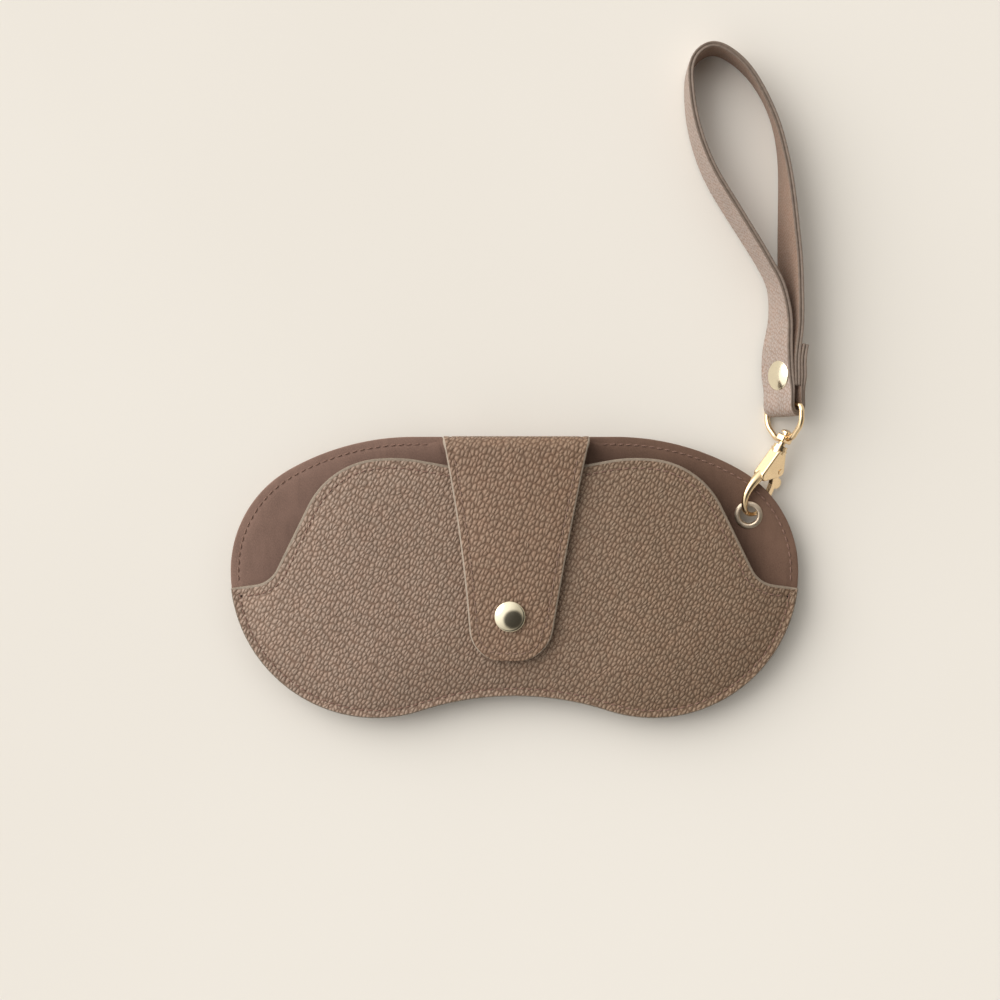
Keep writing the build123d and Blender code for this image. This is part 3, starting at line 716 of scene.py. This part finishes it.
def make_stage():
    bpy.context.scene.view_settings.view_transform = "Standard"
    light_side = Vector((-0.74, 0.42, 0.52)).normalized()
    world = bpy.data.worlds.new("soft_room")
    world.use_nodes = True
    tree = world.node_tree
    way = tree.nodes.new("ShaderNodeTexCoord").outputs["Generated"]
    dot = tree.nodes.new("ShaderNodeVectorMath")
    dot.operation = "DOT_PRODUCT"
    dot.inputs[1].default_value = light_side
    tree.links.new(way, dot.inputs[0])
    ramp = tree.nodes.new("ShaderNodeValToRGB")
    stops = ((0.30, (0.34, 0.315, 0.275, 1)), (0.62, (0.55, 0.525, 0.48, 1)), (0.80, (0.95, 0.93, 0.89, 1)),
             (0.97, (1.35, 1.32, 1.27, 1)))
    for k, (place, colour) in enumerate(stops):
        stop = ramp.color_ramp.elements[k] if k < 2 else ramp.color_ramp.elements.new(place)
        stop.position, stop.color = place, colour
    half = tree.nodes.new("ShaderNodeMath")
    half.operation = "MULTIPLY_ADD"
    half.inputs[1].default_value = half.inputs[2].default_value = 0.5
    tree.links.new(dot.outputs["Value"], half.inputs[0])
    tree.links.new(half.outputs[0], ramp.inputs[0])
    overhead = tree.nodes.new("ShaderNodeVectorMath")
    overhead.operation = "DOT_PRODUCT"
    overhead.inputs[1].default_value = Vector((0.20, -0.33, 0.92)).normalized()
    tree.links.new(way, overhead.inputs[0])
    shade = tree.nodes.new("ShaderNodeMapRange")
    shade.interpolation_type = "SMOOTHSTEP"
    for key, value in (("From Min", 0.80), ("From Max", 0.90), ("To Min", 1.0), ("To Max", 0.10)):
        shade.inputs[key].default_value = value
    tree.links.new(overhead.outputs["Value"], shade.inputs["Value"])
    dim = tree.nodes.new("ShaderNodeVectorMath")
    dim.operation = "SCALE"
    tree.links.new(ramp.outputs[0], dim.inputs[0])
    tree.links.new(shade.outputs[0], dim.inputs["Scale"])
    tree.links.new(dim.outputs[0], tree.nodes["Background"].inputs["Color"])
    tree.nodes["Background"].inputs["Strength"].default_value = 1.22
    bpy.context.scene.world = world
    sun = bpy.data.lights.new("window", "SUN")
    sun.energy, sun.angle, sun.color = 1.7, math.radians(55), (1.0, 0.965, 0.91)
    lamp = bpy.data.objects.new("window", sun)
    lamp.rotation_euler = Vector((0.76, -0.42, -0.60)).to_track_quat("-Z", "Y").to_euler()
    bpy.context.scene.collection.objects.link(lamp)
    n, size = 24, 12.0
    verts, faces = [], []
    for j in range(n + 1):
        for i in range(n + 1):
            verts.append(((i / n - 0.5) * size * 1000, (j / n - 0.5) * size * 1000, 0.0))
    for j in range(n):
        for i in range(n):
            a = j * (n + 1) + i
            faces.append((a, a + 1, a + n + 2, a + n + 1))
    floor = new_object("floor", verts, faces)
    m = Nodes("floor_paper")
    cloud = m.noise(m.coords("Object"), 3.0, 3)
    tone = m.mix(m.ramp(cloud, 0.3, 0.7), rgba((0.775, 0.745, 0.700)), rgba((0.800, 0.772, 0.730)))
    m.set(Base_Color=tone, Roughness=0.85)
    m.set(Specular_IOR_Level=0.2)
    floor.data.materials.append(m.material)
    floor.location.z = -0.0002


make_camera()
make_stage()


# ------------------------------------------------------------------ joints give the hardware's frames
joint = {j["name"]: j for j in frame["joints"]}


def joint_at(name):
    return Vector(joint[name]["pos_m"]) / MM, Vector(joint[name]["axis"]).normalized()


eyelet_mid, eyelet_up = joint_at("clasp_swing")
_, clasp_up = joint_at("gate_swing")
_, clasp_along = joint_at("ring_swivel")
bar, _ = joint_at("strap_swing")

# ------------------------------------------------------------------ back panel
EYE_HOLE = 3.15


def circle(cx, cy, r, n=40):
    """Anticlockwise, so that the cloth is on its right-hand side."""
    return np.array([(cx + r * math.cos(2 * math.pi * i / n), cy + r * math.sin(2 * math.pi * i / n))
                     for i in range(n)])


def notched_outline():
    """The outline, with the strip where the flap grows out of it cut away."""
    dense = spaced(OUTLINE, 0.5, closed=True)
    cut = (dense[:, 0] > NOTCH_LEFT) & (dense[:, 0] < NOTCH_RIGHT) & (dense[:, 1] > FOLD_Y)
    first = int(np.argmax(~cut & np.roll(cut, 1)))
    kept = np.roll(dense, -first, axis=0)[: int((~cut).sum())]
    gap = 0.12
    corners = [(through(FLAP_LEFT, TOP_Y) - gap, TOP_Y), (through(FLAP_LEFT, FOLD_Y) - gap, FOLD_Y),
               (through(FLAP_RIGHT, FOLD_Y) + gap, FOLD_Y), (through(FLAP_RIGHT, TOP_Y) + gap, TOP_Y)]
    bay = spaced([kept[-1]] + corners + [kept[0]], 1.0)[1:-1]
    return np.vstack([spaced(kept, 1.0), bay])


back_loop = notched_outline()
in_bay = (back_loop[:, 0] > NOTCH_LEFT - 0.2) & (back_loop[:, 0] < NOTCH_RIGHT + 0.2) & (back_loop[:, 1] > 0)
back_seam = np.where(in_bay, 1.2, RIM_SEAM)
back_seam = np.convolve(np.pad(back_seam, 6, mode="wrap"), np.ones(13) / 13, "valid")
eye = circle(eyelet_mid.x, eyelet_mid.y, EYE_HOLE)
RINGS = [0.25, 0.42, 0.72, 0.88, 1.0, 1.12, 1.28, 1.6]

back = sheet_mesh("back_panel_leather", [(back_loop, back_seam), (eye, 0)],
                  lambda x, y: BACK(x, y) + LEATHER, LEATHER, RINGS)
dress(back, BACK_HIDE, "pebbled_leather", "pouch", "back_leather", edge=RIM_EDGE)
lining = sheet_mesh("back_panel_lining", [(back_loop, back_seam), (eye, 0)],
                    lambda x, y: BACK(x, y) + LEATHER + LINING, LINING - 0.01, RINGS, groove=0.12, edge=0.2)
dress(lining, LINING_SUEDE, "suede_lining", "pouch", "back_lining", edge=RIM_EDGE)

# ------------------------------------------------------------------ front panel
below = OUTLINE[:, 1] < np.interp(OUTLINE[:, 0], MOUTH_LINE[:, 0], MOUTH_LINE[:, 1])
start = int(np.argmax(below & ~np.roll(below, 1)))
bottom = np.roll(OUTLINE, -start, axis=0)[: int(below.sum())]
mouth = MOUTH_LINE[inside(MOUTH_LINE, OUTLINE)]
mouth = spaced(mouth, 1.0)
front_loop = np.vstack([bottom, mouth])
front_seam = np.concatenate([np.full(len(bottom), RIM_SEAM), np.full(len(mouth), MOUTH_SEAM)])
front_seam = np.convolve(np.pad(front_seam, 6, mode="wrap"), np.ones(13) / 13, "valid")

front = sheet_mesh("front_panel_leather", [(front_loop, front_seam)],
                   lambda x, y: FRONT_TOP + FRONT(x, y), FRONT_LEATHER, RINGS, groove=0.22)
dress(front, FRONT_HIDE, "pebbled_leather", "pouch", "front_leather", edge=RIM_EDGE)
front.data.materials.append(MOUTH_LIP)
paint_band(front, bottom, 0.3, 1)
paint_band(front, mouth, 0.62, 2)
front_lining = sheet_mesh("front_panel_lining", [(front_loop, front_seam)],
                          lambda x, y: FRONT_TOP - FRONT_LEATHER + FRONT(x, y) - 0.01, FRONT_LINING,
                          RINGS, edge=0.2)
dress(front_lining, LINING_SUEDE, "suede_lining", "pouch", "front_lining", edge=RIM_EDGE)


# ------------------------------------------------------------------ flap, with its fold
FLAP_TIP = FLAP_LEFT[-1][1]
flap_ys, flap_zs = zip(*FLAP_HEIGHTS[::-1])
fine_y = np.linspace(FLAP_TIP - 1, 48, 300)
fine_z = np.interp(fine_y, flap_ys, flap_zs)
kernel = np.exp(-0.5 * (np.arange(-40, 41) / 14) ** 2)
fine_z = np.convolve(np.pad(fine_z, 40, mode="reflect", reflect_type="odd"), kernel / kernel.sum(), "valid")


def flap_rows():
    """(x left, x right, y, z of the outside, lean of the outside's normal, length so far)."""
    rows, so_far = [], 0.0
    path = [(FOLD_Y - 1.2, RIM_RISE, -90.0), (FOLD_Y - 0.6, RIM_RISE, -90.0)]
    half_height = (FLAP_TOP - RIM_RISE) / 2
    for i in range(29):
        a = math.radians(-90 + 180 * i / 28)
        path.append((FOLD_Y + FLAP_DEPTH * math.cos(a), RIM_RISE + half_height + half_height * math.sin(a),
                     math.degrees(math.atan2(math.sin(a) / half_height, math.cos(a) / FLAP_DEPTH))))
    straight = [FOLD_Y - 1.5 * i for i in range(1, 200) if FOLD_Y - 1.5 * i > FLAP_TIP + FLAP_CORNER + 0.8]
    corner = [FLAP_TIP + FLAP_CORNER * (1 - math.sin(math.radians(90 * i / 14))) for i in range(15)]
    for y in straight + corner:
        z = float(np.interp(y, fine_y, fine_z))
        slope = float(np.interp(y + 0.5, fine_y, fine_z)) - float(np.interp(y - 0.5, fine_y, fine_z))
        path.append((y, z, 90 + math.degrees(math.atan(slope))))
    for k, (y, z, lean) in enumerate(path):
        if k:
            so_far += math.hypot(y - path[k - 1][0], z - path[k - 1][1])
        left, right = through(FLAP_LEFT, y), through(FLAP_RIGHT, y)
        under = FLAP_TIP + FLAP_CORNER - y
        if under > 0:
            pinch = FLAP_CORNER - math.sqrt(max(0, FLAP_CORNER**2 - under**2))
            left, right = left + pinch, right - pinch
        rows.append((left, right, y, z, lean, so_far))
    return rows


ROWS = flap_rows()


def flap_point(row, x, depth):
    """A point of the flap, depth mm inside its outer face."""
    left, right, y, z, lean, _ = row
    a = math.radians(lean)
    middle = (left + right) / 2
    share = (x - middle) / max(1.0, (right - left) / 2)
    over = 1 if y < FOLD_Y - 2 and z > 12 else 0
    droop = 0.22 * abs(share) ** 3 * over
    pull = 0.25 * math.exp(-((x - SNAP[0]) ** 2 + (y - SNAP[1]) ** 2) / 60) * over
    wave = 0.12 * noise.noise(Vector((x * 0.06, row[5] * 0.05, 1.3))) * over
    depth = depth + droop + pull + wave
    return (x, y - math.cos(a) * depth, z - math.sin(a) * depth)


def flap_sheet(name, outside, thick, edge, groove):
    """One layer of the flap, as a strip with rounded edges and a rounded tip."""
    verts, uvs, faces, sides, loops = [], [], [], [], []
    seam_steps = [0.0, edge * 0.3, edge, 1.2, 1.8, 2.2, 2.5, 2.8, 3.2, 3.9]
    middle_steps = 12
    total = len(ROWS)
    for k, row in enumerate(ROWS):
        left, right = row[0], row[1]
        half = (right - left) / 2
        to_tip = ROWS[-1][5] - row[5]
        scale = min(1.0, half / 8.0)
        insets = [s * scale for s in seam_steps]
        xs = [left + s for s in insets]
        inner_left, inner_right = left + insets[-1], right - insets[-1]
        xs += [inner_left + (inner_right - inner_left) * i / middle_steps for i in range(1, middle_steps)]
        xs += [right - s for s in reversed(insets)]
        top, low = [], []
        for c, x in enumerate(xs):
            near = min(x - left, right - x, to_tip)
            dip = edge * (1 - math.sqrt(max(0, 1 - (1 - min(1, near / edge)) ** 2)))
            dip_top = dip + groove * math.exp(-((near - FLAP_SEAM) / 0.55) ** 2)
            top.append(len(verts))
            verts.append(flap_point(row, x, outside + dip_top))
            uvs.append((x, 60 - row[5]))
            low.append(len(verts))
            verts.append(flap_point(row, x, outside + thick - min(dip, thick * 0.4)))
            uvs.append((x, 60 - row[5]))
        loops.append((top, low))
    for k in range(total - 1):
        (t0, l0), (t1, l1) = loops[k], loops[k + 1]
        for c in range(len(t0) - 1):
            lip = c < 2 or c > len(t0) - 4
            (sides if lip else faces).append((t0[c], t1[c], t1[c + 1], t0[c + 1]))
            faces.append((l0[c + 1], l1[c + 1], l1[c], l0[c]))
        sides.append((t0[0], l0[0], l1[0], t1[0]))
        sides.append((t1[-1], l1[-1], l0[-1], t0[-1]))
    for (t, l), turn in ((loops[0], 1), (loops[-1], -1)):
        for c in range(len(t) - 1):
            f = (t[c], t[c + 1], l[c + 1], l[c])
            sides.append(f if turn > 0 else f[::-1])
    return paint_edges(new_object(name, verts, faces + sides, uvs), len(sides))


flap = flap_sheet("flap_leather_cover", 0.0, LEATHER, 0.5, 0.2)
flap_inner = flap_sheet("flap_suede_lining", LEATHER + 0.01, LINING, 0.2, 0.0)
dress(flap, FLAP_HIDE, "flap_leather", None, "fold_leather", "flap_leather", edge=FLAP_EDGE_AND_HIGHLIGHT)
dress(flap_inner, LINING_SUEDE, "suede_lining", None, "fold_lining", "flap_lining", edge=FLAP_EDGE_AND_HIGHLIGHT)
for layer in (flap, flap_inner):
    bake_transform(layer)


# ------------------------------------------------------------------ seams
def offset_line(loop, seam, keep):
    line = (loop + inward(loop) * seam[:, None])
    return line[keep]


def over(height, line, lift=0.0):
    """3-D line and normals where a plan line lies on a height field."""
    z = height(line[:, 0], line[:, 1])
    dx = (height(line[:, 0] + 0.5, line[:, 1]) - height(line[:, 0] - 0.5, line[:, 1]))
    dy = (height(line[:, 0], line[:, 1] + 0.5) - height(line[:, 0], line[:, 1] - 0.5))
    return np.column_stack([line, z + lift]), np.column_stack([-dx, -dy, np.ones(len(line))])


number = np.arange(len(front_loop))
rim_line = offset_line(front_loop, front_seam, number < len(bottom))
line, normals = over(lambda x, y: FRONT_TOP + FRONT(x, y), rim_line, -0.16)
dress(stitches("pocket_seam_stitches", line, normals), THREAD, "thread", "pouch", "pocket_seam_thread")

mouth_line = offset_line(front_loop, front_seam, (number >= len(bottom) + 4) & (number < len(front_loop) - 4))
line, normals = over(lambda x, y: FRONT_TOP + FRONT(x, y), mouth_line, -0.16)
dress(stitches("mouth_seam_stitches", line, normals), THREAD, "thread", "pouch", "mouth_seam_thread")

high = back_loop[:, 1] > np.interp(back_loop[:, 0], MOUTH_LINE[:, 0], MOUTH_LINE[:, 1]) + 1.0
spans = []
for side in (-1, 1):
    keep = high & (back_loop[:, 0] * side > 26.5)
    plan = offset_line(back_loop, np.full(len(back_loop), RIM_SEAM), keep)
    breaks = np.argmax(np.hypot(*np.diff(plan, axis=0).T)) if len(plan) > 2 else 0
    if np.hypot(*(plan[breaks + 1] - plan[breaks])) > 3:
        plan = np.roll(plan, -(breaks + 1), axis=0)
    spans.append(plan)
pieces = []
for side, plan in zip(("left", "right"), spans):
    line, normals = over(lambda x, y: BACK(x, y) + LEATHER + LINING, plan, -0.05)
    pieces.append(stitches(f"back_rim_stitches_{side}", line, normals))
for obj, nodes in zip(pieces, (("back_rim_thread",), ())):
    dress(obj, THREAD, "thread", "pouch", *nodes)

seam_path = []
flap_rows_used = [r for r in ROWS if r[2] < FOLD_Y - 1.5 and r[3] > 12]
for row in flap_rows_used:
    if row[2] > FLAP_TIP + FLAP_CORNER:
        seam_path.append(flap_point(row, row[0] + FLAP_SEAM, -0.02))
tip_y, inner_r = FLAP_TIP + FLAP_CORNER, FLAP_CORNER - FLAP_SEAM
left_c = through(FLAP_LEFT, FLAP_TIP + 4) + FLAP_CORNER
right_c = through(FLAP_RIGHT, FLAP_TIP + 4) - FLAP_CORNER


def on_flap(x, y):
    row = min(flap_rows_used, key=lambda r: abs(r[2] - y))
    z = float(np.interp(y, fine_y, fine_z))
    return flap_point((row[0], row[1], y, z, row[4], row[5]), x, -0.02)


for i in range(13):
    a = math.radians(180 + 90 * i / 12)
    seam_path.append(on_flap(left_c + inner_r * math.cos(a), tip_y + inner_r * math.sin(a)))
for i in range(13):
    a = math.radians(270 + 90 * i / 12)
    seam_path.append(on_flap(right_c + inner_r * math.cos(a), tip_y + inner_r * math.sin(a)))
for row in reversed(flap_rows_used):
    if row[2] > FLAP_TIP + FLAP_CORNER:
        seam_path.append(flap_point(row, row[1] - FLAP_SEAM, -0.02))
seam_path = np.array(seam_path)
flap_stitches = stitches("flap_seam_stitches", seam_path - (0, 0, 0.16),
                         np.tile((0, 0, 1.0), (len(seam_path), 1)))
dress(flap_stitches, FLAP_THREAD, "thread", "flap", "flap_thread")


# ------------------------------------------------------------------ turned fittings
def dome_profile(radius, height, rim=0.55):
    """Domed button: (radius, height) from the middle of the top round to the foot."""
    rise = height - rim
    ball = (radius**2 + rise**2) / (2 * rise)
    points = [(0.0, height)]
    for i in range(1, 15):
        r = (radius - 0.45) * i / 14
        points.append((r, height - ball + math.sqrt(ball**2 - r * r)))
    top = points[-1][1]
    for i in range(1, 9):
        a = math.radians(90 * i / 8)
        points.append((radius - 0.45 + 0.45 * math.sin(a), top - (top - 0.28) * (1 - math.cos(a))))
    points += [(radius, 0.12), (radius - 0.15, 0.0), (0.0, 0.0)]
    return points


low, high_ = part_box("snap_cap")
slope = float(np.interp(SNAP[1] + 2, fine_y, fine_z) - np.interp(SNAP[1] - 2, fine_y, fine_z)) / 4
snap_up = Vector((0, -slope, 1)).normalized()
top_mid = Vector(((low.x + high_.x) / 2, (low.y + high_.y) / 2, high_.z)) / MM
cap_place = frame_at(top_mid - snap_up * 1.7, (1, 0, 0), snap_up)
cap = lathe("snap_cap_button", dome_profile(4.9, 1.7), cap_place)
dress(cap, PALE_GOLD, "pale_gold", "flap", "snap_cap")

eye_place = frame_at(eyelet_mid, (1, 0, 0), eyelet_up)
roll = [(2.8, -1.05), (2.8, 0.75)]
quarter = [math.radians(a) for a in range(0, 91, 15)]
roll += [(3.35 - 0.55 * math.cos(a), 0.95 + 0.50 * math.sin(a)) for a in quarter]
roll += [(3.35 + 1.15 * math.sin(a), 1.0 + 0.45 * math.cos(a)) for a in quarter[1:]]
roll += [(4.4, 0.96), (3.15, 0.96), (3.15, -1.05), (2.8, -1.05)]
barrel = lathe("eyelet_rolled_flange", [(r, h) for r, h in roll][::-1], eye_place)
dress(barrel, EYELET_METAL, "eyelet_metal", "pouch", "eyelet_barrel")

cap_low, cap_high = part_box("strap_rivet_cap")
lean = math.radians(57.0)
rivet_up = Vector((-math.sin(lean), 0, math.cos(lean)))
rivet_mid = (cap_low + cap_high) / 2 / MM
rivet = lathe("strap_rivet_button", dome_profile(4.8, 1.6),
              frame_at(rivet_mid - rivet_up * 0.8, (0, 1, 0), rivet_up))
dress(rivet, PALE_GOLD, "pale_gold", "strap", "strap_rivet_cap")


# ------------------------------------------------------------------ gate spring
def coil(name, middle, axis, radius, wire, height, turns=5, sides=10):
    """Closed-ended helical spring."""
    place = frame_at(middle, (1, 0, 0), axis)
    steps = turns * 24
    path = [place @ Vector((radius * math.cos(a), radius * math.sin(a), height * (i / steps - 0.5)))
            for i, a in ((i, 2 * math.pi * turns * i / steps) for i in range(steps + 1))]
    verts, faces = [], []
    for i, p in enumerate(path):
        t = (path[min(i + 1, steps)] - path[max(i - 1, 0)]).normalized()
        out = (p - Vector(middle)).cross(t).cross(t).normalized()
        up = t.cross(out)
        for j in range(sides):
            a = 2 * math.pi * j / sides
            verts.append(tuple(p + out * wire * math.cos(a) + up * wire * math.sin(a)))
    for i in range(steps):
        for j in range(sides):
            a, b = i * sides + j, i * sides + (j + 1) % sides
            faces.append((a, a + sides, b + sides, b))
    faces.append(tuple(range(sides)))
    faces.append(tuple(len(verts) - 1 - j for j in range(sides)))
    return new_object(name, verts, faces)


spring_low, spring_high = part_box("gate_spring")
spring_mid = (spring_low + spring_high) / 2 / MM
gate_low, gate_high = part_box("clasp_gate")
spring_axis = clasp_up.cross(clasp_along).normalized()
if ((gate_low + gate_high) / 2 / MM - spring_mid).dot(spring_axis) < 0:
    spring_axis = -spring_axis
spring = coil("gate_spring_coil", spring_mid, spring_axis, 0.56, 0.10, 1.3)
dress(spring, STEEL, "spring_steel", None, "gate_spring")
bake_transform(spring)

# ------------------------------------------------------------------ cast and turned fittings, as in the CAD
keep_cad(GOLD, "clasp_body", "clasp_gate", "gate_pin", "swivel_post", "swivel_ring")
keep_cad(SNAP_METAL, "snap_socket", "snap_stud", "snap_post")
keep_cad(EYELET_METAL, "eyelet_washer")
keep_cad(PALE_GOLD, "strap_rivet_post")

# ------------------------------------------------------------------ wrist strap
STRAP_WIDTH, LAYER = 13.3, 0.88
FOLD_TURN = 2.65
TAIL = [(3.3, 19.0), (2.2, 14.0), (2.0, 9.5), (2.0, 5.5), (2.45, 2.5)]
FRONT_RUN = [(-2.45, 2.5), (-2.0, 5.5), (-2.0, 9.5), (-2.0, 14.0), (-1.4, 19.5), (-0.1, 26.0), (0.3, 32.0)]
LOOP = [(-0.5, 38.6), (-2.8, 43.8), (-8.6, 53.4), (-14.6, 62.9), (-20.1, 72.5), (-23.7, 81.8),
        (-25.9, 91.2), (-26.6, 101.0), (-24.7, 109.8), (-19.0, 113.6), (-12.3, 111.2), (-6.9, 106.4),
        (-3.1, 101.2), (1.2, 91.4), (3.1, 81.5), (3.5, 69.6), (3.3, 57.6), (3.2, 45.2)]
RETURN_RUN = [(3.0, 33.7), (1.8, 23.0), (0.2, 15.0), (0.0, 10.0), (0.0, 6.0)]
# Lean of the strap's face in degrees, against the distance from the ring, going out and coming back
OUT_LEAN = [(14.0, 57.0), (27.0, 70.0), (40.0, 82.0), (50.0, 81.0), (66.0, 79.0), (82.0, 84.0),
            (98.0, 88.0), (113.0, 94.0)]
BACK_LEAN = [(14.0, 57.0), (33.0, 67.0), (46.0, 69.0), (66.0, 80.0), (82.0, 92.0), (98.0, 99.0),
             (113.0, 94.0)]
turn = [(FOLD_TURN * math.cos(math.radians(a)), FOLD_TURN * math.sin(math.radians(a)))
        for a in range(0, -181, -30)]
centre = natural_spline(TAIL + turn + FRONT_RUN + LOOP + RETURN_RUN, 520)
dip = math.radians(1.1)
strap_along = Vector((0, math.cos(dip), -math.sin(dip)))
rise = Vector((math.cos(lean), 0, math.sin(lean)))
foot = bar - rise * (STRAP_WIDTH / 2)


def ribbon(name, near, far, crown=0.12):
    """A strap layer between two offsets from the centreline, its edges rounded."""
    sign = 1 if far > near else -1
    thick = abs(far - near)
    r = 0.28
    section = []
    for k in range(5):
        a = math.radians(90 * k / 4)
        section.append((thick - r + r * math.sin(a), r - r * math.cos(a)))
    section = [(0.0, 0.12), (thick - r, 0.0)] + section[1:]
    flat = STRAP_WIDTH - 2 * r
    outer = [(thick + crown * math.sin(math.pi * i / 8), r + flat * i / 8) for i in range(1, 8)]
    mirror_side = [(o, STRAP_WIDTH - h) for o, h in reversed(section)]
    profile = section + outer + mirror_side
    inner = [(0.0, 0.12 + (STRAP_WIDTH - 0.24) * i / 4) for i in range(3, 0, -1)]
    profile += inner
    tangent = np.gradient(centre, axis=0)
    tangent /= np.linalg.norm(tangent, axis=1)[:, None]
    side = np.stack([-tangent[:, 1], tangent[:, 0]], axis=1)
    along = np.concatenate([[0], np.cumsum(np.linalg.norm(np.diff(centre, axis=0), axis=1))])
    verts, uvs, faces = [], [], []
    n = len(profile)
    far_end = int(np.argmax(centre[:, 1]))
    leans = np.where(np.arange(len(centre)) < far_end, np.interp(centre[:, 1], *zip(*OUT_LEAN)),
                     np.interp(centre[:, 1], *zip(*BACK_LEAN)))
    leans = np.convolve(np.pad(leans, 12, mode="edge"), np.ones(25) / 25, "valid")
    for k, (c, s) in enumerate(zip(centre, side)):
        tilt = math.radians(leans[k])
        upright = Vector((math.cos(tilt), 0, math.sin(tilt)))
        squared = 1 - float(eased(c[1], 1.0, 10.0))
        for offset, h in profile:
            p = c + s * (near + sign * offset)
            height = h - p[0] * rise.x * squared
            v = foot + Vector((1, 0, 0)) * p[0] + strap_along * p[1] + upright * height
            verts.append(tuple(v))
            uvs.append((h + (20 if offset < 0.1 else 0), along[k]))
    cut = set(range(len(section) - 1))
    cut |= {len(section) + len(outer) + j for j in range(len(section) - 1)}
    edges = []
    for k in range(len(centre) - 1):
        for j in range(n):
            a, b = k * n + j, k * n + (j + 1) % n
            f = (a, b, b + n, a + n)
            (edges if j in cut else faces).append(f if sign < 0 else f[::-1])
    ends = [tuple(range(n)), tuple(range(len(verts) - n, len(verts)))]
    edges.append(ends[0] if sign > 0 else ends[0][::-1])
    edges.append(ends[1][::-1] if sign > 0 else ends[1])
    return paint_edges(new_object(name, verts, faces + edges, uvs), len(edges))


strap = ribbon("strap_outer_leather", 0.0, LAYER, crown=0.1)
dress(strap, STRAP_HIDE, "strap_leather", "strap", "strap_leather", edge=STRAP_EDGE)
strap_in = ribbon("strap_inner_leather", -0.01, -LAYER)
dress(strap_in, STRAP_INNER, "strap_backing", "strap", "strap_backing", edge=STRAP_EDGE)
